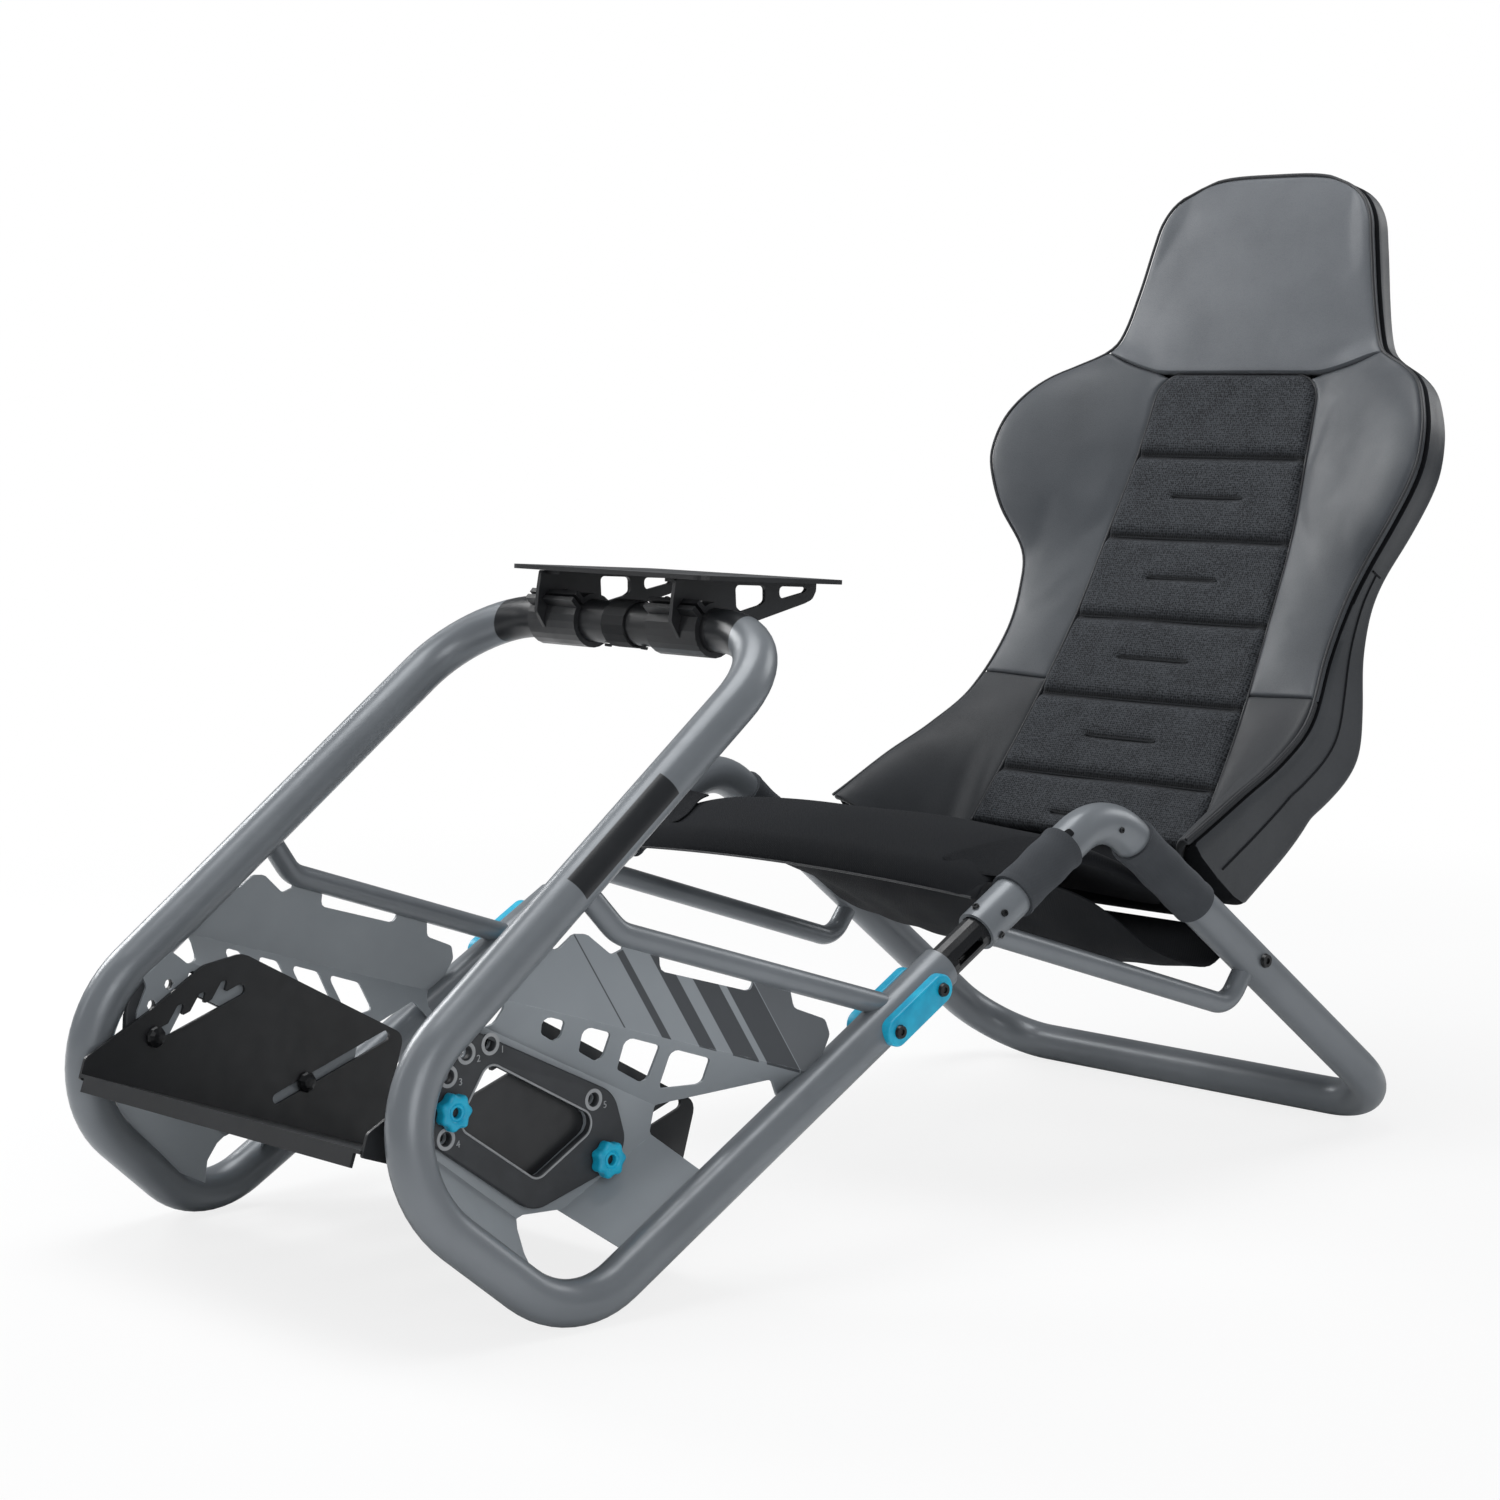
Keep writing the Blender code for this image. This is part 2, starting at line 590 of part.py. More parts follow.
def panel_outline():
    """Side view of the panel; where it is welded, it runs to the tube's middle."""
    low = lambda y: (y, LOWER_SLOPE * y)
    high = lambda y: (y, UPPER_RISE + UPPER_SLOPE * y)
    tab = lambda y: (y, brace_level(y))
    r = 0.006
    points = [
        (high(-0.0400), 0), (high(0.0020), 0), ((0.0200, 0.2935), r), ((0.0389, 0.3054), r),
        ((0.0514, 0.3041), r), ((0.0737, 0.2851), r), ((0.0850, 0.2885), 0), (tab(0.0880), 0),
        (tab(0.1210), 0), ((0.1200, 0.2674), r), ((0.2110, 0.2404), r), (tab(0.2180), 0),
        (tab(0.2510), 0), ((0.2540, 0.2222), r), ((0.2865, 0.2091), r), ((0.2900, 0.1960), r),
        ((0.2800, 0.1800), r), (low(0.2780), 0), (low(0.2500), 0), ((0.2330, 0.1640), r),
        ((0.1392, 0.1499), 0.004), ((0.1335, 0.1280), 0.004), (low(0.1600), 0), (low(0.0725), 0),
        ((0.0357, 0.0795), 0.004), ((-0.0109, 0.0820), 0.010), ((-0.0150, 0.0560), 0.006),
        ((-0.0100, 0.0330), 0), ((-0.0760, 0.0670), 0), ((-0.1220, 0.1150), 0),
        ((-0.0980, 0.1500), 0.010), ((-0.0960, 0.2020), 0.008), ((-0.0860, 0.2230), 0.004),
        (high(-0.0930), 0), (high(-0.0680), 0), ((-0.0430, 0.2370), 0.006), ((-0.0320, 0.2400), 0.006),
        ((-0.0300, 0.2540), 0.006),
    ]
    return fillet([p for p, _ in points], [rad for _, rad in points], closed=True,
                  step=math.radians(45))


def shelf_windows():
    """Four round-cornered windows spaced along the shelf between its two folds."""
    along = ((0.0045, 0.0260), (0.0435, 0.0700), (0.0840, 0.1180), (0.1290, 0.1680))
    upper = lambda y: FOLD_TOP[0][1] + (y - FOLD_TOP[0][0]) * -0.3354
    lower = lambda y: FOLD_SHELF[0][1] + (y - FOLD_SHELF[0][0]) * -0.4997
    windows = []
    for start, end in along:
        corners = [(start, upper(start) - 0.007), (end, upper(end) - 0.007),
                   (end + 0.004, max(lower(end), 0.1560) + 0.010), (start + 0.006, lower(start) + 0.011)]
        windows.append(fillet(corners, 0.0045, closed=True, step=math.radians(45)))
    return windows


COVER_CORNERS = ((-0.1080, 0.1620), (-0.1040, 0.2170), (-0.0660, 0.2445), (0.0900, 0.1685),
                 (0.1040, 0.1220), (0.0800, 0.1040), (0.0040, 0.0835))
WINDOW_CORNERS = ((-0.0710, 0.1650), (-0.0400, 0.2110), (0.0750, 0.1480), (0.0070, 0.1110))
RING_HOLES = ((-0.0390, 0.2260), (-0.0630, 0.2220), (-0.0810, 0.2060), (-0.0840, 0.1570),
              (0.0670, 0.1660))


def cover_window(margin):
    """The window of the cover, or of the pressing behind it when a margin is given."""
    corners = [Vector((*c, 0)) for c in WINDOW_CORNERS]
    middle = sum(corners, Vector()) / len(corners)
    grown = [c + (c - middle).normalized() * margin for c in corners]
    return fillet(grown, 0.010 + margin, closed=True, step=math.radians(30))


def fold_lines():
    """Side-view lines along which two facets of the pan meet, as points and normals."""
    planes = FACETS + (loop_x,)
    lines = []
    for i, first in enumerate(planes):
        for second in planes[i + 1:]:
            gap = lambda y, z, f=first, g=second: f(y, z) - g(y, z)
            base = gap(0.0, 0.0)
            slope = Vector((0.0, gap(1.0, 0.0) - base, gap(0.0, 1.0) - base))
            if slope.length > 1e-6:
                lines.append((slope * (-base / slope.length_squared), slope.normalized()))
    return lines


def build_side_panels():
    holes = shelf_windows() + [cover_window(0.002)]
    holes += [circle(BOLT_R + 0.001, 8, place) for place in (FRONT_BOLT, REAR_BOLT) + RING_HOLES]
    for name, side in SIDES:
        panel = plate("side_panel_" + name, [panel_outline()] + holes, 0.0, "sheet", SIDE_VIEW)
        bm = bmesh.new()
        bm.from_mesh(panel.data)
        for point, normal in fold_lines():
            geometry = list(bm.verts) + list(bm.edges) + list(bm.faces)
            bmesh.ops.bisect_plane(bm, geom=geometry, dist=0.00001, plane_co=point, plane_no=normal)
        for vertex in bm.verts:
            vertex.co.x = side * pan_x(vertex.co.y, vertex.co.z)
        bmesh.ops.triangulate(bm, faces=bm.faces)
        inner = [f for f in bm.faces]
        bmesh.ops.translate(bm, vec=(-side * SHEET / 2, 0, 0), verts=bm.verts)
        outer = bmesh.ops.extrude_face_region(bm, geom=inner, use_keep_orig=True)["geom"]
        raised = [v for v in outer if isinstance(v, bmesh.types.BMVert)]
        bmesh.ops.translate(bm, vec=(side * SHEET, 0, 0), verts=raised)
        face_outwards(bm)
        bm.to_mesh(panel.data)
        bm.free()
        boolean(panel, LOOP_CUTTERS[side])
        boolean(panel, BRACE_CUTTERS[side])


def build_pedal_covers():
    outer = fillet(COVER_CORNERS, 0.022, closed=True, step=math.radians(24))
    holes = [cover_window(0.0)]
    holes += [circle(BOLT_R + 0.001, 10, place) for place in (FRONT_BOLT, REAR_BOLT) + RING_HOLES]
    inner_face = PAN_X + SHEET / 2 + GAP
    for name, side in SIDES:
        place = Matrix.Translation((side * (inner_face + COVER_THICK / 2), 0, 0))
        cover = plate("pedal_cover_" + name, [outer] + holes, COVER_THICK, "black_plastic",
                      place @ SIDE_VIEW)
        boolean(cover, LOOP_CUTTERS[side])


# ---------------------------------------------------------------- pedal plate
def turned(point, angle, origin):
    """A point given along and across a line at an angle, as (y, z)."""
    a, b = point
    return (origin[0] + a * math.cos(angle) - b * math.sin(angle),
            origin[1] + a * math.sin(angle) + b * math.cos(angle))


def straight_slot(origin, reach):
    ends = [(reach[0] - SLOT_WIDTH / 2, -SLOT_WIDTH / 2), (reach[1] + SLOT_WIDTH / 2, -SLOT_WIDTH / 2),
            (reach[1] + SLOT_WIDTH / 2, SLOT_WIDTH / 2), (reach[0] - SLOT_WIDTH / 2, SLOT_WIDTH / 2)]
    return fillet([turned(p, SLOT_TILT, origin) for p in ends], SLOT_WIDTH / 2 * 0.98, closed=True,
                  step=math.radians(30))


def branched_slot(origin, reach):
    """A slot with three slanting notches on its upper edge, into which a bolt can hook."""
    half = SLOT_WIDTH / 2
    branch_angle = math.radians(32)
    branch_long, branch_wide = 0.018, 0.0075
    step = Vector((math.cos(branch_angle), math.sin(branch_angle)))
    points = [(reach[0] - half, half), (reach[0] - half, -half), (reach[1] + half, -half),
              (reach[1] + half, half)]
    radii = [half * 0.98] * 4
    for base in (0.064, 0.040, 0.016):
        foot = Vector((base, half))
        wide = branch_wide / math.sin(branch_angle)
        tip = foot + step * branch_long
        points += [tuple(foot + Vector((wide, 0))), tuple(tip + Vector((branch_wide * 0.85, 0))),
                   tuple(tip + Vector((-0.001, 0.001))), tuple(foot)]
        radii += [0.0015, 0.0025, 0.0025, 0.0015]
    return fillet([turned(p, SLOT_TILT, origin) for p in points], radii, closed=True,
                  step=math.radians(40))


def ear_outline():
    front = Vector(PEDAL_FRONT)
    down = math.sin(PEDAL_TILT)
    rear = front + Vector((math.cos(PEDAL_TILT), down)) * PEDAL_LENGTH
    corners = [tuple(front + Vector((0, -0.004))), tuple(rear), (rear.x - 0.004, 0.080), (0.1880, 0.1450),
               (0.0120, 0.2410), (-0.0300, 0.2350), (-0.0840, 0.2030), (-0.1510, 0.1700)]
    return fillet(corners, [0.002, 0.010, 0.010, 0.012, 0.018, 0.020, 0.030, 0.006], closed=True,
                  step=math.radians(20))


def pedal_slots():
    """Four long slots for fixing pedals to the plate."""
    slots = []
    for x in (-0.135, -0.050, 0.050, 0.135):
        corners = [(x - 0.0035, 0.120), (x + 0.0035, 0.120), (x + 0.0035, 0.280), (x - 0.0035, 0.280)]
        slots.append(fillet(corners, 0.0034, closed=True, step=math.radians(45)))
    return slots


def build_pedal_plate():
    y, z = PEDAL_FRONT
    slope = Matrix.Translation((0, y, z)) @ Matrix.Rotation(PEDAL_TILT, 4, "X")
    edge = EAR_X - PEDAL_SHEET / 4
    corners = [(-edge, 0.0), (edge, 0.0), (edge, PEDAL_LENGTH - 0.002), (-edge, PEDAL_LENGTH - 0.002)]
    sheet = plate("pedal_plate", [fillet(corners, 0)] + pedal_slots(), PEDAL_SHEET, "black_metal", slope)
    lip = box("pedal_lip", (2 * edge - 0.016, PEDAL_SHEET, PEDAL_LIP),
              (0, PEDAL_SHEET / 2, -PEDAL_LIP / 2 + PEDAL_SHEET / 4), None, slope)
    boolean(sheet, lip, "UNION")
    slots = [branched_slot(FRONT_BOLT, FRONT_SLOT), straight_slot(REAR_BOLT, REAR_SLOT)]
    for name, side in SIDES:
        place = Matrix.Translation((side * EAR_X, 0, 0)) @ SIDE_VIEW
        ear = plate("pedal_ear_" + name, [ear_outline()] + slots, PEDAL_SHEET, None, place)
        boolean(sheet, ear, "UNION")


def build_pedal_bolts():
    """Bolts from inside each ear, through slot, panel and cover, into a star knob."""
    inner_seat = EAR_X - PEDAL_SHEET / 2 - GAP
    cover_face = PAN_X + SHEET / 2 + GAP + COVER_THICK
    length = cover_face + KNOB_THICK * 0.6 - inner_seat
    for name, side in SIDES:
        for label, (y, z) in (("front", FRONT_BOLT), ("rear", REAR_BOLT)):
            bolt("pedal_bolt_%s_%s" % (label, name), (side * inner_seat, y, z), (-side, 0, 0), length,
                 head=0.0095)


def star_outline(radius, lobes=7, depth=0.085):
    count = lobes * 6
    wave = (radius * (1 - depth + depth * math.cos(2 * math.pi * lobes * k / count))
            for k in range(count))
    return [Vector((r * math.cos(2 * math.pi * k / count), r * math.sin(2 * math.pi * k / count), 0))
            for k, r in enumerate(wave)]


def build_knobs():
    cover_face = PAN_X + SHEET / 2 + GAP + COVER_THICK + GAP
    for name, side in SIDES:
        for label, (y, z) in (("front", FRONT_BOLT), ("rear", REAR_BOLT)):
            place = Matrix.Translation((side * (cover_face + KNOB_THICK / 2), y, z)) @ SIDE_VIEW
            bore_radius = (BOLT_R + GAP) / math.cos(math.pi / 14)
            plate("knob_%s_%s" % (label, name), [star_outline(KNOB_R), circle(bore_radius, 14)],
                  KNOB_THICK, "cyan", place)


# ---------------------------------------------------------------- wheel deck
def deck_matrix():
    """Side-view frame of the deck: origin on the crossbar axis, tilted with the deck."""
    place = Matrix.Translation((0, CROSSBAR_Y, on_upper(CROSSBAR_Y).z))
    return place @ Matrix.Rotation(DECK_TILT, 4, "X")


def build_wheel_deck():
    corners = [(-DECK_HALF, DECK_FRONT), (DECK_HALF, DECK_FRONT), (DECK_HALF, DECK_REAR),
               (-DECK_HALF, DECK_REAR)]
    holes = [circle(0.0035, 10, (x, y)) for x in (-0.070, 0.070) for y in (0.020, 0.060, 0.100)]
    for x in (-0.030, 0.030):
        slot = [(x - 0.0035, 0.010), (x + 0.0035, 0.010), (x + 0.0035, 0.110), (x - 0.0035, 0.110)]
        holes.append(fillet(slot, 0.0034, closed=True, step=math.radians(45)))
    outline = fillet(corners, 0.012, closed=True, step=math.radians(22))
    top = deck_matrix() @ Matrix.Translation((0, 0, DECK_LIFT))
    plate("wheel_deck", [outline] + holes, DECK_SHEET, "black_metal", top)


LUG_ANGLE = math.radians(42)        # the clamp's lug points forward and this much up
LUG_REACH = 0.008


def bracket_outline():
    """Side view: flat under the deck, round over the clamp, with a notch for its lug."""
    ring = TUBE_R + GAP + CLAMP_WALL + GAP
    top = DECK_LIFT - DECK_SHEET / 2 - GAP
    half = 0.0066
    lug = math.pi - LUG_ANGLE
    reach = Vector((math.cos(lug), math.sin(lug))) * (ring + LUG_REACH + GAP)
    across = Vector((-math.sin(lug), math.cos(lug))) * half
    open_half = math.asin(half / ring)
    arc = []
    for first, last, count in ((math.radians(200), lug + open_half, 4),
                               (lug - open_half, math.radians(-10), 9)):
        steps = [first + (last - first) * k / count for k in range(count + 1)]
        arc.append([(ring * math.cos(a), ring * math.sin(a)) for a in steps])
    arc = arc[0] + [tuple(reach + across), tuple(reach - across)] + arc[1]
    front = [(0.1385, top), (DECK_FRONT + 0.004, top), (DECK_FRONT + 0.002, 0.0280), (-0.0335, 0.0060)]
    tail = [(0.0340, -0.0030), (0.0713, 0.0090), (0.1254, 0.0245), (0.1345, 0.0283), (0.1385, 0.0357)]
    radii = [0.0, 0.002, 0.006, 0.006] + [0.0] * len(arc) + [0.004, 0.010, 0.0, 0.008, 0.006]
    return fillet(front + arc + tail, radii, closed=True, step=math.radians(22))


LUG_TURN = Matrix.Rotation(-LUG_ANGLE, 4, "X")


def build_deck_brackets():
    near = [(0.0397, 0.0390), (0.0758, 0.0390), (0.0768, 0.0255), (0.0704, 0.0217), (0.0482, 0.0158),
            (0.0420, 0.0194)]
    far = [(0.0929, 0.0390), (0.1281, 0.0390), (0.1242, 0.0342), (0.0975, 0.0279), (0.0936, 0.0303)]
    windows = [fillet(w, 0.004, closed=True, step=math.radians(30)) for w in (near, far)]
    top = DECK_LIFT - DECK_SHEET / 2 - GAP
    flange = 0.003
    for name, side in SIDES:
        frame = deck_matrix()
        place = frame @ Matrix.Translation((side * BRACKET_X, 0, 0)) @ SIDE_VIEW
        bracket = plate("deck_bracket_" + name, [bracket_outline()] + windows, 0.004, "black_metal", place)
        rim = box("bracket_flange_" + name, (0.020, DECK_REAR - DECK_FRONT - 0.020, flange),
                  (side * (BRACKET_X - 0.0095), (DECK_REAR + DECK_FRONT) / 2, top - flange / 2),
                  None, frame)
        boolean(bracket, rim, "UNION")
    for name, side in SIDES:
        frame = deck_matrix()
        half = CLAMP_LENGTH / 2
        start = frame @ Vector((side * CLAMP_X - half, 0, 0))
        end = frame @ Vector((side * CLAMP_X + half, 0, 0))
        inner = TUBE_R + GAP
        clamp = sleeve("bar_clamp_" + name, start, end, inner + CLAMP_WALL, inner, "black_metal", 24)
        lug = box("clamp_lug_" + name, (CLAMP_LENGTH, 2 * LUG_REACH, 0.012), (side * CLAMP_X, 0, 0), None,
                  frame @ LUG_TURN
                  @ Matrix.Translation((0, -inner - CLAMP_WALL, 0)))
        boolean(clamp, lug, "UNION")
        core = rod("clamp_core_" + name, start - Vector((0.01, 0, 0)), end + Vector((0.01, 0, 0)),
                   inner / math.cos(math.pi / 24), None, 24)
        boolean(clamp, core)
        slit = box("clamp_slit_" + name, (CLAMP_LENGTH + 0.02, 0.030, 0.003), (side * CLAMP_X, 0, 0), None,
                   frame @ LUG_TURN
                   @ Matrix.Translation((0, -inner - CLAMP_WALL, 0)))
        boolean(clamp, slit)
        lug_frame = frame @ LUG_TURN
        seat = lug_frame @ Vector((side * (CLAMP_X - 0.012), -inner - CLAMP_WALL - 0.004, 0.006 + GAP))
        bolt("bar_clamp_bolt_" + name, seat, lug_frame.to_3x3() @ Vector((0, 0, 1)), 0.0, radius=0.0025,
             head=0.0040)


# ---------------------------------------------------------------- backrest
def back_line(s):
    """Point and direction angle of the backrest's middle line at a station."""
    angle = BACK_ANGLE + s / BACK_RADIUS
    y = BACK_Y + BACK_RADIUS * (math.sin(angle) - math.sin(BACK_ANGLE))
    z = BACK_Z - BACK_RADIUS * (math.cos(angle) - math.cos(BACK_ANGLE))
    return y, z, angle


def panel_half(s):
    return smooth_table(PANEL_HALF, s)


def stand_off(s, x):
    """How far the front surface stands forward of the middle line at a half width."""
    edge, forward = smooth_table(OUTLINE, s)
    inner = panel_half(min(s, PANEL_TOP))
    share = min(max((abs(x) - inner) / max(edge - inner, 1e-6), 0.0), 1.0)
    k = min(int(share * 4), 3)
    return forward * (RISE[k] + (RISE[k + 1] - RISE[k]) * (share * 4 - k))


def in_back(s, x, w):
    """World point at a station, a side offset and a distance forward of the surface."""
    y, z, angle = back_line(s)
    forward = w + stand_off(s, x)
    return Vector((x, y - math.sin(angle) * forward, z + math.cos(angle) * forward))


def slab(name, rows, front, rear, kind):
    """A closed pad: two grids over the same rows, joined round their rims."""
    count = len(rows[0])
    points = [front(s, x, i, j) for i, row in enumerate(rows) for j, (s, x) in enumerate(row)]
    points += [rear(s, x, i, j) for i, row in enumerate(rows) for j, (s, x) in enumerate(row)]
    shift = len(rows) * count
    faces = []
    for i in range(len(rows) - 1):
        for j in range(count - 1):
            a = i * count + j
            quad = (a, a + 1, a + 1 + count, a + count)
            faces.append(quad)
            faces.append(tuple(shift + k for k in reversed(quad)))
    rim = [j for j in range(count)] + [i * count + count - 1 for i in range(1, len(rows))]
    rim += [(len(rows) - 1) * count + j for j in range(count - 2, -1, -1)]
    rim += [i * count for i in range(len(rows) - 2, 0, -1)]
    for a, b in zip(rim, rim[1:] + rim[:1]):
        faces.append((b, a, a + shift, b + shift))
    mesh = bpy.data.meshes.new(name)
    mesh.from_pydata([tuple(p) for p in points], [], faces)
    bm = bmesh.new()
    bm.from_mesh(mesh)
    bmesh.ops.triangulate(bm, faces=bm.faces)
    face_outwards(bm)
    bm.to_mesh(mesh)
    bm.free()
    return add_object(name, mesh, kind, smooth=True)


def crown(share, power=6.0):
    """1 in the middle of a pad and 0 at its rim, for a share from -1 to 1."""
    return 1.0 - abs(share) ** power


def channel_dip(s):
    """Depth of the sewn channels across the middle panel at a station."""
    dip = 0.0
    for k in range(CHANNEL_COUNT):
        offset = (s - (CHANNEL_FIRST - k * CHANNEL_PITCH)) / CHANNEL_WIDTH
        dip = max(dip, math.exp(-offset * offset * 4))
    return CHANNEL_DEPTH * dip


def panel_stations():
    """Rows of the middle panel: close together over each channel, wide between them."""
    stations = [PANEL_BOTTOM, PANEL_BOTTOM + 0.012, PANEL_TOP - 0.004, PANEL_TOP,
                PANEL_TOP - 0.024, PANEL_TOP - 0.012]
    for k in range(CHANNEL_COUNT):
        middle = CHANNEL_FIRST - k * CHANNEL_PITCH
        stations += [middle + CHANNEL_WIDTH * t for t in (-1.0, -0.45, 0.0, 0.45, 1.0)]
        stations.append(middle - CHANNEL_PITCH / 2)
    kept = []
    for s in sorted(stations):
        if PANEL_BOTTOM <= s <= PANEL_TOP and (not kept or s - kept[-1] > 0.003):
            kept.append(s)
    return kept


def panel_edge(s):
    """Half width of the middle panel, with round top corners."""
    into = s - (PANEL_TOP - PANEL_CORNER)
    drop = PANEL_CORNER - math.sqrt(max(PANEL_CORNER ** 2 - into ** 2, 0.0)) if into > 0 else 0.0
    return panel_half(s) - drop


PAD_BACK = -0.010           # where the pads' backs meet the shell
RISE = (0.0, 0.156, 0.5, 0.844, 1.0)    # rise of the front surface over each quarter of a pad
SHELL_FRONT = PAD_BACK - 0.0014
SHELL_RIM = 0.004           # how far the shell stands out round the pads
SHOULDER_ROW = 0.172        # below this station the rows of a bolster run straight across
CORNER_ROW = 0.222          # where the seam from the shoulder meets the panel's corner
SEAM_ROW = 0.250            # where it reaches the outline


def build_backrest_panel():
    shares = (-1.0, -0.92, -0.5, 0.0, 0.5, 0.92, 1.0)
    rows = [[(s, k * panel_edge(s)) for k in shares] for s in panel_stations()]

    def front(s, x, i, j):
        rim = min(s - PANEL_BOTTOM, PANEL_TOP - s)
        side = crown(shares[j], 10.0)
        edge = min(1.0, rim / 0.012)
        lift = (0.002 + 0.004 * side) * (0.4 + 0.6 * edge) - channel_dip(s) * side
        return in_back(s, x, lift)

    slab("backrest_panel", rows, front, lambda s, x, i, j: in_back(s, x, PAD_BACK), "mesh")


def stations(start, end, count):
    return [start + (end - start) * k / count for k in range(count + 1)]


def outline_rows(start, end):
    """The outline's own stations between two ends, with midpoints where they lie far apart."""
    known = [row[0] for row in OUTLINE]
    known += [(a + b) / 2 for a, b in zip(known, known[1:]) if b - a > 0.04]
    return [start] + [s for s in sorted(known) if start + 0.006 < s < end - 0.006] + [end]


def side_pad(name, side, kind, start, end, end_drop=0.0):
    """One pad between the middle panel and the outline; its upper seam may slant inwards."""
    shares = (0.0, 0.06, 0.25, 0.5, 0.75, 0.92, 1.0)
    rows = []
    for row in outline_rows(start, end):
        slant = max(0.0, (row - SHOULDER_ROW) / (end - SHOULDER_ROW)) * end_drop
        cells = []
        for t in shares:
            s = row - slant * (1 - t)
            first = panel_edge(min(s, PANEL_TOP)) + SEAM_WIDTH
            cells.append((s, side * (first + (smooth_table(OUTLINE, s)[0] - first) * t)))
        rows.append(cells)
    last = len(rows) - 1

    def front(s, x, i, j):
        roll = (0.0, 0.9, 1.0, 1.0, 1.0, 0.8, 0.0)[j]
        ends = 0.5 if i in (0, last) else 1.0
        return in_back(s, x, -0.004 + 0.008 * roll * ends)

    slab(name, rows, front, lambda s, x, i, j: in_back(s, x, PAD_BACK), kind)


def build_bolsters():
    for name, side in SIDES:
        side_pad("bolster_" + name, side, "leather", BOLSTER_BOTTOM + SEAM_WIDTH / 2,
                 SEAM_ROW - SEAM_WIDTH, SEAM_ROW - CORNER_ROW)
        side_pad("wing_" + name, side, "fabric", WING_BOTTOM, BOLSTER_BOTTOM - SEAM_WIDTH / 2)


def build_headrest():
    """The headrest starts above the middle panel and its shoulders."""
    shares = (-1.0, -0.92, -0.75, -0.48, 0.0, 0.48, 0.75, 0.92, 1.0)
    top = OUTLINE[-1][0]
    base = SEAM_ROW + SEAM_WIDTH
    middle_base = PANEL_TOP + SEAM_WIDTH
    rows = []
    for row in outline_rows(base, top):
        cells = []
        for k in shares:
            inwards = min(1.0, (1.0 - abs(k)) / 0.52)
            s = row - inwards * (base - middle_base) * max(0.0, 1.0 - (row - base) / 0.06)
            cells.append((s, k * smooth_table(OUTLINE, s)[0]))
        rows.append(cells)

    def front(s, x, i, j):
        puff = crown(shares[j], 4.0) * min(1.0, (top - s) / 0.05)
        return in_back(s, x, -0.003 + 0.010 * puff)

    slab("headrest", rows, front, lambda s, x, i, j: in_back(s, x, PAD_BACK), "leather")


def build_backrest_shell():
    """The back cover over the hoop: the outline again, behind the pads."""
    quarters = (0.0, 0.25, 0.5, 0.75, 1.0)
    rows = []
    for s in outline_rows(WING_BOTTOM, OUTLINE[-1][0]):
        edge = smooth_table(OUTLINE, s)[0]
        first = min(panel_half(min(s, PANEL_TOP)), edge * 0.8)
        half = [first + (edge - first) * t for t in quarters] + [edge + SHELL_RIM]
        rows.append([(s, -x) for x in reversed(half)] + [(s, x) for x in half])
    last = len(rows[0]) - 1

    def rear(s, x, i, j):
        y, z, angle = back_line(s)
        depth = smooth_table(REAR_SURFACE, s)
        lift = min(stand_off(s, x) * 0.75, 0.036)
        rim = min(j, last - j)
        forward = depth + lift + (0.012, 0.004, 0.0)[min(rim, 2)]
        return Vector((x * (0.985 if rim == 0 else 1.0), y - math.sin(angle) * forward,
                       z + math.cos(angle) * forward))

    slab("backrest_shell", rows, lambda s, x, i, j: in_back(s, x, SHELL_FRONT), rear, "fabric")


# ---------------------------------------------------------------- seat
def line_rows(table, count):
    first, last = table[0][0], table[-1][0]
    return [(y, smooth_table(table, y)) for y in stations(first, last, count)]


def build_seat_cushion():
    """Thigh cushion and pan: a rolled front edge, a crest and a dip towards the back."""
    shares = (-1.0, -0.96, -0.85, -0.5, 0.0, 0.5, 0.85, 0.96, 1.0)
    line = line_rows(SEAT_LINE, 16)
    first, last = SEAT_LINE[0][0], SEAT_LINE[-1][0]
    rows = []
    for y, _ in line:
        taper = max(0.0, (y - SEAT_TAPER) / (last - SEAT_TAPER))
        rows.append([(y, k * (SEAT_HALF + (SEAT_END_HALF - SEAT_HALF) * taper)) for k in shares])

    def top(y, x, i, j):
        draw = crown(shares[j], 8.0)
        ends = min(1.0, (last - y) / 0.02)
        return Vector((x, y, line[i][1] - SEAT_THICK * 0.35 * (1 - draw)
                       + SEAT_CROWN * (crown(shares[j], 2.0) - 1) * ends))

    def under(y, x, i, j):
        thick = SEAT_THICK * (0.35 + 0.65 * min(1.0, (y - first) / 0.03))
        return Vector((x, y, line[i][1] - thick - SEAT_CROWN * (1 - crown(shares[j], 2.0))
                       + 0.004 * (1 - crown(shares[j], 8.0))))

    slab("seat_cushion", rows, top, under, "fabric")


def build_sling():
    """The sheet that sags below the cushion, from its hem to the foot of the backrest."""
    shares = (-1.0, -0.66, -0.33, 0.0, 0.33, 0.66, 1.0)
    rows = [[(y, k * SLING_HALF) for k in shares] for y, _, _ in SLING_LINE]

    def top(y, x, i, j):
        _, middle, edge = SLING_LINE[i]
        return Vector((x, y, middle + (edge - middle) * shares[j] ** 2))

    slab("under_sling", rows, top,
         lambda y, x, i, j: top(y, x, i, j) - Vector((0, 0, SLING_THICK)), "fabric")


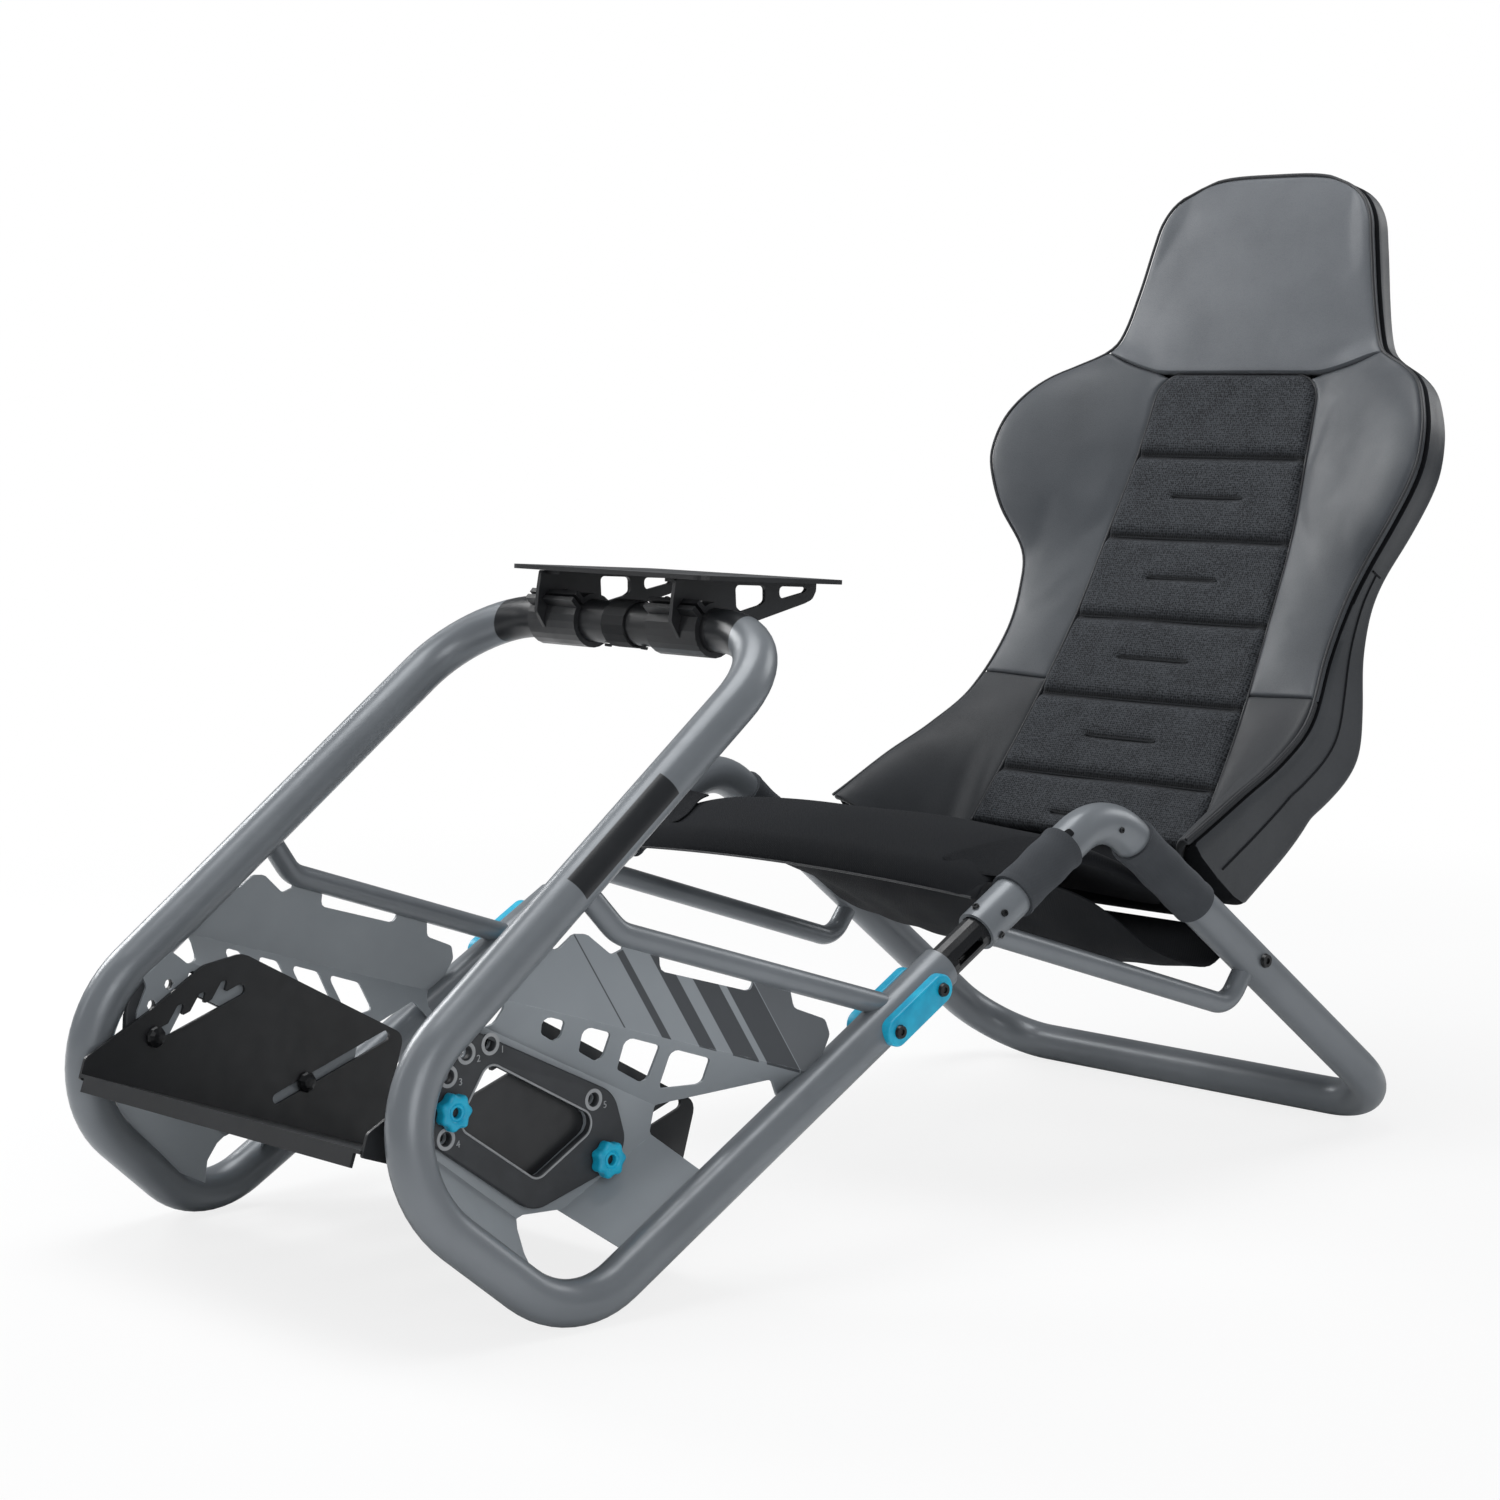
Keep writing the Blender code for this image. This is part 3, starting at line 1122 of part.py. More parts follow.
def build_sleeves():
    """Fabric sleeves that hold the sling on the four straight legs."""
    outer = TUBE_R + GAP + SLEEVE_THICK
    for name, side in SIDES:
        sleeve("front_sleeve_" + name, on_lower(FRONT_SLEEVE[0], side), on_lower(FRONT_SLEEVE[1], side),
               outer, TUBE_R + GAP, "fabric")
        sleeve("rear_sleeve_" + name, leg_point(REAR_SLEEVE[0], side), leg_point(REAR_SLEEVE[1], side),
               outer, TUBE_R + GAP, "fabric")


# ---------------------------------------------------------------- assembly
def extended(path, length):
    """The path with both ends drawn out, for a cutter that runs past a tube's ends."""
    start = path[0] + (path[0] - path[1]).normalized() * length
    end = path[-1] + (path[-1] - path[-2]).normalized() * length
    return [start] + path + [end]


def pivot(name, place, parent=None, inside=Matrix()):
    """An empty on a joint's axis, given in the lengths that the pieces are drawn in."""
    empty = bpy.data.objects.new(name, None)
    bpy.context.scene.collection.objects.link(empty)
    empty.parent = parent
    empty.matrix_parent_inverse = inside.inverted()
    empty.matrix_basis = place
    return empty


def hang(obj, empty, place):
    """Parents an object, and the tools that cut it, without moving them."""
    tools = [m.object for m in obj.modifiers if m.type == "BOOLEAN"]
    for piece in [obj] + tools:
        if piece.parent is None:
            piece.parent = empty
            piece.matrix_parent_inverse = place.inverted()


DECK_NODES = ("wheel_deck", "deck_bracket_", "bar_clamp_")
FRONT_NODES = ("front_loop_", "crossbar", "front_brace_", "slide_clamp_", "clamp_bolt_",
               "side_panel_", "pedal_cover_", "pedal_bolt_")


def assemble():
    """Hangs every piece on its joint, and puts the origin below the middle of the box."""
    view = bpy.context.evaluated_depsgraph_get()
    reach = [(obj.matrix_world @ Vector(corner)).y for obj in PARTS.objects
             for corner in obj.evaluated_get(view).bound_box]
    root_place = Matrix()
    root = pivot("cockpit_origin", Matrix.Translation((0, -(min(reach) + max(reach)) / 2, 0)))
    slide_place = (Matrix.Translation((0, REAR_START_Y, LOWER_SLOPE * REAR_START_Y))
                   @ Matrix.Rotation(math.atan(LOWER_SLOPE), 4, "X"))
    slide = pivot("frame_slide", slide_place, root)
    hinge_place = deck_matrix()
    hinge = pivot("deck_hinge", hinge_place, slide, slide_place)
    pedal_place = (Matrix.Translation((0, FRONT_BOLT[0], FRONT_BOLT[1]))
                   @ Matrix.Rotation(SLOT_TILT, 4, "X"))
    pedal = pivot("pedal_slide", pedal_place, slide, slide_place)
    for obj in list(PARTS.objects):
        if obj.name.startswith("knob_"):
            y, z = FRONT_BOLT if "front" in obj.name else REAR_BOLT
            place = Matrix.Translation((0, y, z))
            hang(obj, pivot(obj.name + "_axis", place, slide, slide_place), place)
        elif obj.name.startswith(DECK_NODES):
            hang(obj, hinge, hinge_place)
        elif obj.name == "pedal_plate":
            hang(obj, pedal, pedal_place)
        elif obj.name.startswith(FRONT_NODES):
            hang(obj, slide, slide_place)
        else:
            hang(obj, root, root_place)


LOOP_CUTTERS = {side: tube("loop_clearance_" + name, extended(loop_path(side), 0.03), TUBE_R + GAP,
                           TUBE_SIDES, None) for name, side in SIDES}
BRACE_CUTTERS = {side: tube("brace_clearance_" + name, extended(front_brace_path(side), 0.005),
                            BRACE_R + GAP, BRACE_SIDES, None) for name, side in SIDES}
REAR_CUTTER = tube("rear_clearance", extended(rear_path(), 0.03), TUBE_R + GAP, TUBE_SIDES, None)

build_front_loops()
build_rear_frame()
build_slide_tubes()
build_braces()
build_crossbar()
build_frame_bolts()
build_slide_clamps()
build_side_panels()
build_pedal_covers()
build_pedal_plate()
build_pedal_bolts()
build_knobs()
build_wheel_deck()
build_deck_brackets()
build_backrest_panel()
build_bolsters()
build_headrest()
build_backrest_shell()
build_seat_cushion()
build_sling()
build_sleeves()
assemble()
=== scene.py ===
"""Racing cockpit: the looks of the bent-tube frame, its slung seat, wheel deck and pedal plate.

The pieces are drawn side view first: y along the cockpit, z up, x out to the driver's left. Lengths
along y are measured from where the front lower bends would cross the floor, and SHIFT moves them to
where the loaded frame stands.
"""
import math

import bmesh
import bpy
from mathutils import Matrix, Quaternion, Vector


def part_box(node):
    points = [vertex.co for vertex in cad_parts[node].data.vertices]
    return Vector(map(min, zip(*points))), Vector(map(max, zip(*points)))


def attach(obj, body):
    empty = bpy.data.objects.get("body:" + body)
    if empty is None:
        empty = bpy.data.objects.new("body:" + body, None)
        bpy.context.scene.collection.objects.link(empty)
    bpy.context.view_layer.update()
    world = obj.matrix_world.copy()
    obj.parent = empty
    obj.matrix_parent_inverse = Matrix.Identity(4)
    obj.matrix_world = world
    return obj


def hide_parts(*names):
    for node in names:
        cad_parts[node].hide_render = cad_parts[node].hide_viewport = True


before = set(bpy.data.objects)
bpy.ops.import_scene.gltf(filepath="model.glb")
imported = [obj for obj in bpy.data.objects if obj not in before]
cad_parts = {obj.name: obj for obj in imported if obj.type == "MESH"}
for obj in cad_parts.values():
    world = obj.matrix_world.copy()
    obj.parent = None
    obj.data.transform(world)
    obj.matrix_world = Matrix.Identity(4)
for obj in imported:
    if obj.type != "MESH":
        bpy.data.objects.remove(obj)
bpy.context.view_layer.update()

# ---------------------------------------------------------------- sizes of the frame
GAP = 0.0003
TUBE_R, BRACE_R, SLIDE_R = 0.019, 0.0101, 0.0155
FOOT_HALF, LEAN, LOWER_SLOPE = 0.2587, 0.1394, 0.5659
TOE = LEAN * LOWER_SLOPE
UPPER_SLOPE, UPPER_RISE = 0.7513, 0.3085
CROSSBAR_Y, NOSE_Y, FOOT_Y = 0.2921, -0.1909, 0.0021
CROSSBAR_Z = UPPER_RISE + UPPER_SLOPE * CROSSBAR_Y
TOP_BEND, NOSE_BEND, FOOT_BEND = 0.0902, 0.1051, 0.0817
CROSSBAR_HALF = 0.1175
LOOP_END_Y, LOOP_BORE = 0.420, 0.225
REAR_START_Y, HIP_Y, HIP_BEND = 0.466, 0.6307, 0.065
HEEL_Y, HEEL_HALF, HEEL_BEND = 1.0683, 0.2718, 0.080
REAR_SOCKET = 0.060
FRONT_BRACE = dict(y=0.112, z=0.292, slope=-0.328, top_y=0.048, corner_y=0.083, bend=0.035)
REAR_BRACE = dict(y=0.600, z=0.2224, slope=-0.3247, corner_y=0.806, end_y=0.838, bend=0.026)
PAN_X, SHEET = 0.2020, 0.0025
FRONT_BOLT, REAR_BOLT = (-0.0810, 0.1790), (0.0770, 0.1165)
BOLT_R = 0.0040
COVER_THICK, COVER_CORNER, COVER_EDGE = 0.007, 0.030, 0.0018
COVER_X = PAN_X + SHEET / 2 + GAP
COVER_CORNERS = ((-0.1080, 0.1620), (-0.1040, 0.2170), (-0.0660, 0.2445), (0.0900, 0.1685),
                 (0.1040, 0.1220), (0.0800, 0.1040), (0.0040, 0.0835))
WINDOW_CORNERS = ((-0.0710, 0.1650), (-0.0400, 0.2110), (0.0750, 0.1480), (0.0070, 0.1110))
WINDOW_CORNER, WINDOW_RIM, RIM_R = 0.010, 0.0022, 0.0009
RING_HOLES = ((-0.0390, 0.2260), (-0.0630, 0.2220), (-0.0810, 0.2060), (-0.0840, 0.1570),
              (0.0670, 0.1660))
RING_OUTER, RING_INNER, PRINT_THICK, DIGIT_HIGH, DIGIT_THICK = 0.0090, 0.0060, 0.0005, 0.008, 0.0003
DIGIT_BEHIND, DIGIT_BELOW = 0.012, 0.006
KNOB_R, KNOB_BORE, KNOB_THICK, KNOB_ROUND = 0.0155, 0.0062, 0.012, 0.0034
HUB_R, HUB_SUNK, HUB_ROUND = 0.0068, 0.002, 0.0010
CLAMP_LONG, CLAMP_WIDE, CLAMP_THICK, CLAMP_SUNK = 0.086, 0.026, 0.011, 0.004
CLAMP_BACK, CLAMP_EDGE = 0.014, 0.0022
SCREW_PROUD = 0.0006
JOINT_SCREWS = ((90, 0.0), (20, 0.012), (-25, 0.0))
JOINT_INSET, HIP_PLUG_Y, HIP_PLUG_Z = 0.010, 0.636, 0.339
BAR_SCREW_X, BAR_SCREW_AHEAD, BAR_SCREW_BELOW = 0.024, 0.004, 0.0002
# screw heads, each with its radius and height
CLAMP_SCREW, JOINT_SCREW, LEG_SCREW = (0.0062, 0.0024), (0.0034, 0.0018), (0.0070, 0.0030)
BAR_SCREW, HIP_PLUG = (0.0036, 0.0024), (0.0030, 0.0016)

# ---------------------------------------------------------------- sizes of the seat
BACK_Y, BACK_Z, BACK_ANGLE, BACK_RADIUS = 1.0565, 0.5365, math.radians(63.2), 1.48
OUTLINE = ((-0.360, 0.2350, 0.112), (-0.272, 0.2345, 0.072), (-0.208, 0.2310, 0.036),
           (-0.150, 0.2240, 0.010), (-0.076, 0.2120, 0.004), (-0.019, 0.2150, 0.006),
           (0.020, 0.2260, 0.010), (0.060, 0.2560, 0.030), (0.096, 0.2745, 0.040),
           (0.123, 0.2810, 0.044), (0.160, 0.2760, 0.043), (0.190, 0.2620, 0.036),
           (0.215, 0.2420, 0.024), (0.234, 0.2130, 0.012), (0.248, 0.1840, 0.008),
           (0.265, 0.1700, 0.004), (0.314, 0.1545, 0.006), (0.369, 0.1420, 0.008),
           (0.395, 0.1350, 0.007), (0.418, 0.1190, 0.004), (0.432, 0.1000, -0.002),
           (0.441, 0.0780, -0.010))
BACK_TOP = OUTLINE[-1][0]
REAR_SURFACE = ((-0.400, -0.030), (-0.339, -0.050), (-0.240, -0.082), (-0.150, -0.098),
                (-0.096, -0.086), (-0.049, -0.062), (0.000, -0.046), (0.060, -0.040),
                (0.250, -0.034), (0.400, -0.034), (0.441, -0.030))
PANEL_HALF = ((-0.330, 0.150), (-0.234, 0.1435), (-0.045, 0.127), (0.045, 0.1215),
              (0.136, 0.111), (0.228, 0.104))
PANEL_TOP, PANEL_BOTTOM, PANEL_CORNER = 0.228, -0.300, 0.030
CHANNEL_FIRST, CHANNEL_PITCH, CHANNEL_COUNT = 0.136, 0.0925, 5
CHANNELS = [CHANNEL_FIRST - k * CHANNEL_PITCH for k in range(CHANNEL_COUNT)]
DASH_HALF, DASH_FADE = 0.046, 0.008
BOLSTER_BOTTOM, WING_BOTTOM = -0.125, -0.356
PAD_BACK, COVER_FRONT = -0.010, -0.0114
SHOULDER_ROW, CORNER_ROW, SEAM_ROW = 0.172, 0.222, 0.250
SEAM, SEAM_R, CORD_R, PIPE_OUT, STITCH_SHARE = -0.0004, 0.0011, 0.0014, 0.0006, 0.655
END_START, END_ROLL = 0.0025, 0.0045
BACK_OVERHANG, BACK_EDGE_SHRINK, BACK_EDGE_ROLL = 0.004, 0.985, 0.022
BACK_SEAM_FROM, BACK_SEAM_TO, BACK_SEAM_SHARE = -0.335, 0.405, 0.68
SIDE_SEAM_FROM, SIDE_SEAM_TOP = -0.345, 0.020
CREST_FROM, CREST_DROP = 0.405, 0.0045
SEAT_LINE = ((0.492, 0.300), (0.500, 0.316), (0.530, 0.327), (0.565, 0.335), (0.600, 0.337),
             (0.650, 0.329), (0.710, 0.307), (0.770, 0.285), (0.820, 0.270), (0.848, 0.262))
SEAT_FRONT, SEAT_REAR = SEAT_LINE[0][0], SEAT_LINE[-1][0]
SEAT_HALF, SEAT_TAPER, SEAT_END_HALF = 0.2352, 0.760, 0.150
SEAT_THICK, SEAT_CROWN = 0.026, 0.007
LIP_AHEAD, LIP_BELOW, LIP_INSET = 0.0014, 0.0062, 0.008
WEB_FROM, WEB_TO, WEB_FADE, WEB_PROUD, WEB_THICK = 0.508, 0.5775, 0.07, 0.0026, 0.0022
SLING_LINE = ((0.545, 0.3040, 0.3005), (0.575, 0.2870, 0.2950), (0.620, 0.2550, 0.2850),
              (0.680, 0.2260, 0.2620), (0.720, 0.2070, 0.2400), (0.760, 0.1900, 0.2130),
              (0.800, 0.1800, 0.1940), (0.850, 0.1740, 0.1820), (0.878, 0.1880, 0.1940),
              (0.8938, 0.2117, 0.2117))
SLING_HALF, SLING_THICK = 0.205, 0.003
FRONT_SLEEVE, REAR_SLEEVE, SLEEVE_THICK = (0.512, 0.5775), (0.672, 0.7585), 0.0035
HEM_WIDE, HEM_THICK = 0.006, 0.0009
LINE_STEP, PANEL_STEP, COVER_STEP, WEB_STEP, SLING_STEP = 0.006, 0.0024, 0.009, 0.005, 0.008

SIDES = (("left", 1), ("right", -1))
bar_low, bar_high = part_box("crossbar")
SHIFT = (bar_low[1] + bar_high[1]) / 2 - CROSSBAR_Y


# ---------------------------------------------------------------- lines of the frame
def on_loop(y, z):
    return Vector((FOOT_HALF + TOE * y - LEAN * z, y, z))


def on_lower(y):
    return on_loop(y, LOWER_SLOPE * y)


def on_upper(y):
    return on_loop(y, UPPER_RISE + UPPER_SLOPE * y)


LOWER_WAY = (on_lower(1.0) - on_lower(0.0)).normalized()
HIP = on_lower(HIP_Y)
HEEL = Vector((HEEL_HALF, HEEL_Y, TUBE_R))


def leg_point(y):
    return HIP.lerp(HEEL, (y - HIP_Y) / (HEEL_Y - HIP_Y))


def mirrored(point, side):
    return Vector((side * point[0], point[1], point[2]))


def both_sides(half):
    """A line that ends in the middle, followed by its mirror image."""
    return half + [mirrored(p, -1) for p in reversed(half[:-1])]


def placed(point):
    """From the drawn lengths to where the loaded frame stands."""
    return Vector((point[0], point[1] + SHIFT, point[2]))


def rounded(points, radii, closed=False, step=math.radians(6)):
    """Replaces the corners of a line by arcs; each radius is limited by its two runs."""
    corners = [Vector((*p, 0.0)) if len(p) == 2 else Vector(p) for p in points]
    if not isinstance(radii, (list, tuple)):
        radii = [radii] * len(corners)
    line = []
    count = len(corners)
    sharp = [radii[k] <= 0 or (not closed and k in (0, count - 1)) for k in range(count)]
    for k, corner in enumerate(corners):
        following = (k + 1) % count
        before = corners[k - 1] - corner
        after = corners[following] - corner
        half = 0.0 if sharp[k] else before.angle(after) / 2
        if sharp[k] or half > math.radians(88):
            line.append(corner)
            continue
        reach = min(radii[k] / math.tan(half), before.length * (0.98 if sharp[k - 1] else 0.49),
                    after.length * (0.98 if sharp[following] else 0.49))
        middle = (before.normalized() + after.normalized()).normalized()
        centre = corner + middle * (reach * math.tan(half) / math.sin(half))
        first = corner + before.normalized() * reach - centre
        last = corner + after.normalized() * reach - centre
        axis = first.cross(last).normalized()
        turn = math.pi - 2 * half
        steps = max(1, math.ceil(turn / step))
        line += [centre + Quaternion(axis, turn * j / steps) @ first for j in range(steps + 1)]
    return line


def read_table(table, where):
    """Catmull-Rom curve through rows of (station, value, ...), read at one station."""
    where = min(max(where, table[0][0]), table[-1][0])
    k = max(i for i in range(len(table) - 1) if table[i][0] <= where + 1e-12)
    a, b, c, d = (table[min(max(j, 0), len(table) - 1)] for j in (k - 1, k, k + 1, k + 2))
    span = c[0] - b[0]
    t = (where - b[0]) / span
    values = []
    for p, q, r, s in zip(a[1:], b[1:], c[1:], d[1:]):
        into = (r - p) / max(c[0] - a[0], 1e-9) * span
        out = (s - q) / max(d[0] - b[0], 1e-9) * span
        values.append((2 * t**3 - 3 * t**2 + 1) * q + (t**3 - 2 * t**2 + t) * into
                      + (3 * t**2 - 2 * t**3) * r + (t**3 - t**2) * out)
    return values[0] if len(values) == 1 else values


def smooth_step(t):
    t = min(max(t, 0.0), 1.0)
    return t * t * (3 - 2 * t)


def loop_line():
    """The front loop's middle line; its foot is lowered until it stands on the floor."""
    foot_z = 0.0
    top = on_upper(CROSSBAR_Y)
    for _ in range(4):
        corners = [Vector((CROSSBAR_HALF + GAP, CROSSBAR_Y, top.z)), top, on_upper(NOSE_Y),
                   on_loop(FOOT_Y, foot_z), on_lower(LOOP_END_Y)]
        line = rounded(corners, [0, TOP_BEND, NOSE_BEND, FOOT_BEND, 0])
        foot_z += TUBE_R - min(p.z for p in line)
    return line


def rear_line():
    half = [on_lower(REAR_START_Y), HIP, HEEL]
    corners = half + [mirrored(p, -1) for p in reversed(half)]
    return rounded(corners, [0, HIP_BEND, HEEL_BEND, HEEL_BEND, HIP_BEND, 0])


def brace_level(brace, y):
    return brace["z"] + brace["slope"] * (y - brace["y"])


def brace_foot(brace):
    y = (brace["z"] - brace["slope"] * brace["y"]) / (LOWER_SLOPE - brace["slope"])
    return on_lower(y)


def front_brace_line():
    b = FRONT_BRACE
    corner = on_loop(b["corner_y"], brace_level(b, b["corner_y"]))
    return rounded([on_upper(b["top_y"]), corner, brace_foot(b)], b["bend"])


def rear_brace_line():
    b = REAR_BRACE
    end = leg_point(b["end_y"])
    corner = Vector((end.x, b["corner_y"], brace_level(b, b["corner_y"])))
    return rounded([brace_foot(b), corner, end], b["bend"])


# ---------------------------------------------------------------- node trees
def linear(*rgb):
    """An sRGB colour given from 0 to 255, as linear values."""
    return [(c / 255 / 12.92) if c <= 10 else ((c / 255 + 0.055) / 1.055) ** 2.4 for c in rgb]


def feed(tree, socket, value):
    """Links a socket's value, or sets a constant."""
    if isinstance(value, bpy.types.NodeSocket):
        tree.links.new(value, socket)
    else:
        socket.default_value = value


def add(tree, kind, settings=None, **inputs):
    """A node with its settings and inputs, which are named, or numbered as i0, i1, ..."""
    made = tree.nodes.new(kind)
    for key, value in (settings or {}).items():
        setattr(made, key, value)
    for key, value in inputs.items():
        feed(tree, made.inputs[int(key[1:]) if key[1:].isdigit() else key.replace("_", " ")], value)
    return made


def numbered(values):
    return {"i%d" % k: value for k, value in enumerate(values)}


def calc(tree, operation, *values, clamp=False):
    return add(tree, "ShaderNodeMath", dict(operation=operation, use_clamp=clamp),
               **numbered(values)).outputs[0]


def times(tree, first, second):
    return calc(tree, "MULTIPLY", first, second)


def minus(tree, first, second):
    return calc(tree, "SUBTRACT", first, second)


def times_add(tree, first, second, third):
    return calc(tree, "MULTIPLY_ADD", first, second, third)


def vector_calc(tree, operation, *values, output=0):
    return add(tree, "ShaderNodeVectorMath", dict(operation=operation), **numbered(values)).outputs[output]


def split(tree, vector):
    return add(tree, "ShaderNodeSeparateXYZ", i0=vector).outputs


def ramp(tree, value, low, high, start=0.0, end=1.0, curve="LINEAR"):
    """Runs from start to end while the value runs from low to high."""
    return add(tree, "ShaderNodeMapRange", dict(interpolation_type=curve), Value=value, i1=low, i2=high,
               i3=start, i4=end).outputs[0]


def between(tree, value, low, high, soft):
    """1 where the value lies between low and high, with soft edges."""
    return times(tree, ramp(tree, value, low - soft, low + soft),
                 ramp(tree, value, high - soft, high + soft, 1.0, 0.0))


def noise(tree, where, scale, detail, output="Fac"):
    return add(tree, "ShaderNodeTexNoise", Vector=where, Scale=scale, Detail=detail).outputs[output]


def shaken(tree, where, scale, reach):
    """Coordinates moved about by noise, so that a pattern doesn't run too evenly."""
    return vector_calc(tree, "MULTIPLY_ADD", noise(tree, where, scale, 2.0, "Color"), (reach,) * 3, where)


def blend_colour(tree, factor, first, second):
    made = add(tree, "ShaderNodeMix", dict(data_type="RGBA"), i0=factor)
    for socket, value in ((made.inputs[6], first), (made.inputs[7], second)):
        feed(tree, socket, value if isinstance(value, bpy.types.NodeSocket) else (*value[:3], 1.0))
    return made.outputs[2]


FLOAT, VECTOR, GEOMETRY = "NodeSocketFloat", "NodeSocketVector", "NodeSocketGeometry"


def new_group(name, kind, inputs):
    tree = bpy.data.node_groups.new(name, kind)
    for label, socket_kind, value in inputs:
        socket = tree.interface.new_socket(label, in_out="INPUT", socket_type=socket_kind)
        if value is not None:
            socket.default_value = value
    return tree, tree.nodes.new("NodeGroupInput").outputs, tree.nodes.new("NodeGroupOutput").inputs


def as_group(name, setting, build, labels=("Tone", "Height", "Rub")):
    """A shader node group around build, which gets the coordinates and one setting."""
    tree, given, out = new_group(name, "ShaderNodeTree",
                                 [("Coordinates", VECTOR, None), (setting, FLOAT, None)])
    for label, made in zip(labels, build(tree, given[0], given[1])):
        tree.interface.new_socket(label, in_out="OUTPUT", socket_type=FLOAT)
        tree.links.new(made, out[label])
    return tree


def powder(tree, where, peel_scale):
    """Powder paint: orange peel, fine flecks and slow drifts of tone."""
    fleck = add(tree, "ShaderNodeTexVoronoi", Vector=where, Scale=900.0).outputs["Distance"]
    tone = times_add(tree, calc(tree, "LESS_THAN", fleck, 0.10), 0.10, noise(tree, where, 9.0, 3.0))
    return tone, noise(tree, where, peel_scale, 2.0), noise(tree, where, 60.0, 6.0)


def edge_wear(tree, where, amount):
    """Bright wear where a surface turns sharply, broken up by noise."""
    surface = tree.nodes.new("ShaderNodeNewGeometry")
    bevel = add(tree, "ShaderNodeBevel", dict(samples=4), Radius=0.0011)
    alike = vector_calc(tree, "DOT_PRODUCT", bevel.outputs[0], surface.outputs["Normal"], output=1)
    broken = ramp(tree, noise(tree, where, 90.0, 5.0), 0.42, 0.66)
    mask = times(tree, ramp(tree, alike, 0.985, 0.90), broken)
    return (calc(tree, "MULTIPLY", mask, amount, clamp=True),)


def hide(tree, where, cells):
    """Leather grain: small cells with creases between them, and slow drifts of tone."""
    cell = add(tree, "ShaderNodeTexVoronoi", dict(feature="DISTANCE_TO_EDGE"),
               Vector=shaken(tree, where, 180.0, 0.0012), Scale=cells)
    crease = ramp(tree, cell.outputs["Distance"], 0.0, 0.22)
    tone = times_add(tree, crease, 0.3, noise(tree, where, 14.0, 3.0))
    return tone, crease, tone


def weave(tree, where, threads):
    """Plain weave on the surface's own UVs, in metres: threads over and under."""
    scaled = add(tree, "ShaderNodeVectorMath", dict(operation="SCALE"),
                 i0=shaken(tree, where, 260.0, 0.0006), Scale=threads)
    across = split(tree, scaled.outputs[0])
    warp, weft = (calc(tree, "SINE", times(tree, across[k], math.pi)) for k in (0, 1))
    height = times_add(tree, times(tree, warp, weft), 0.5, 0.5)
    lint = times(tree, noise(tree, where, 1500.0, 1.0), 0.5)
    tone = times_add(tree, noise(tree, where, 30.0, 4.0), 0.5, lint)
    return times_add(tree, height, 0.35, tone), height, tone


def knit(tree, where, cells):
    """Spacer mesh: a net of small open cells, with light and dark threads."""
    cell = add(tree, "ShaderNodeTexVoronoi", dict(feature="F1"), Vector=where, Scale=cells,
               Randomness=0.35)
    opening = ramp(tree, cell.outputs["Distance"], 0.12, 0.55)
    drift = times(tree, noise(tree, where, 40.0, 3.0), 0.25)
    tone = times_add(tree, noise(tree, where, 380.0, 3.0), 0.75, drift)
    return times(tree, tone, times_add(tree, opening, 0.6, 0.6)), opening, tone


POWDER = as_group("powder_paint", "Peel Scale", powder)
WEAR = as_group("edge_wear", "Amount", edge_wear, ("Mask",))
HIDE = as_group("hide_grain", "Cells", hide)
WEAVE = as_group("plain_weave", "Threads", weave)
KNIT = as_group("spacer_mesh", "Cells", knit)


# ---------------------------------------------------------------- materials
def new_material(name, **shader_values):
    """A material with its shader and coordinates; constants sit on the shader."""
    made = bpy.data.materials.new(name)
    made.use_nodes = True
    tree = made.node_tree
    shader = tree.nodes["Principled BSDF"]
    for key, value in shader_values.items():
        shader.inputs[key.replace("_", " ")].default_value = value
    return made, tree, shader, tree.nodes.new("ShaderNodeTexCoord").outputs


def use_group(tree, group, coordinates, setting):
    return add(tree, "ShaderNodeGroup", dict(node_tree=group), i0=coordinates, i1=setting).outputs


def grained(name, group, setting, space, spread, colours, rough, bump, tone="Tone", marks=None, wear=0.0,
            gain=1.7, **shader_values):
    """A material whose colour, roughness and height follow a grain; marks adds printed areas."""
    dark, light = (linear(*colour) for colour in colours)
    made, tree, shader, coords = new_material(name, Roughness=rough[0], **shader_values)
    grain = use_group(tree, group, coords[space], setting)
    colour = blend_colour(tree, ramp(tree, grain[tone], *spread), dark, light)
    if marks:
        colour = marks(tree, coords, colour)
    if wear:
        edge = use_group(tree, WEAR, coords["Object"], wear)
        colour = blend_colour(tree, edge["Mask"], colour, [min(1.0, c * gain + 0.02) for c in light])
    feed(tree, shader.inputs["Base Color"], colour)
    feed(tree, shader.inputs["Roughness"], ramp(tree, grain["Rub"], 0.3, 0.7, *rough))
    raised = add(tree, "ShaderNodeBump", Height=grain["Height"], Strength=bump[0], Distance=bump[1])
    feed(tree, shader.inputs["Normal"], raised.outputs[0])
    return made


def painted(name, colours, rough, marks=None, metallic=0.0, wear=0.5, peel=0.06):
    return grained(name, POWDER, 900.0, "Object", (0.35, 0.85), colours, rough, (peel, 0.0004), "Tone",
                   marks, wear, Metallic=metallic, Coat_Weight=0.15, Coat_Roughness=0.22)


def moulded(name, colours, rough, specular=0.45, wear=0.2):
    """Moulded plastic with a fine spark-eroded grain."""
    return grained(name, POWDER, 1600.0, "Object", (0.3, 0.7), colours, rough, (0.12, 0.0003), "Rub", None,
                   wear, 1.5, Specular_IOR_Level=specular)


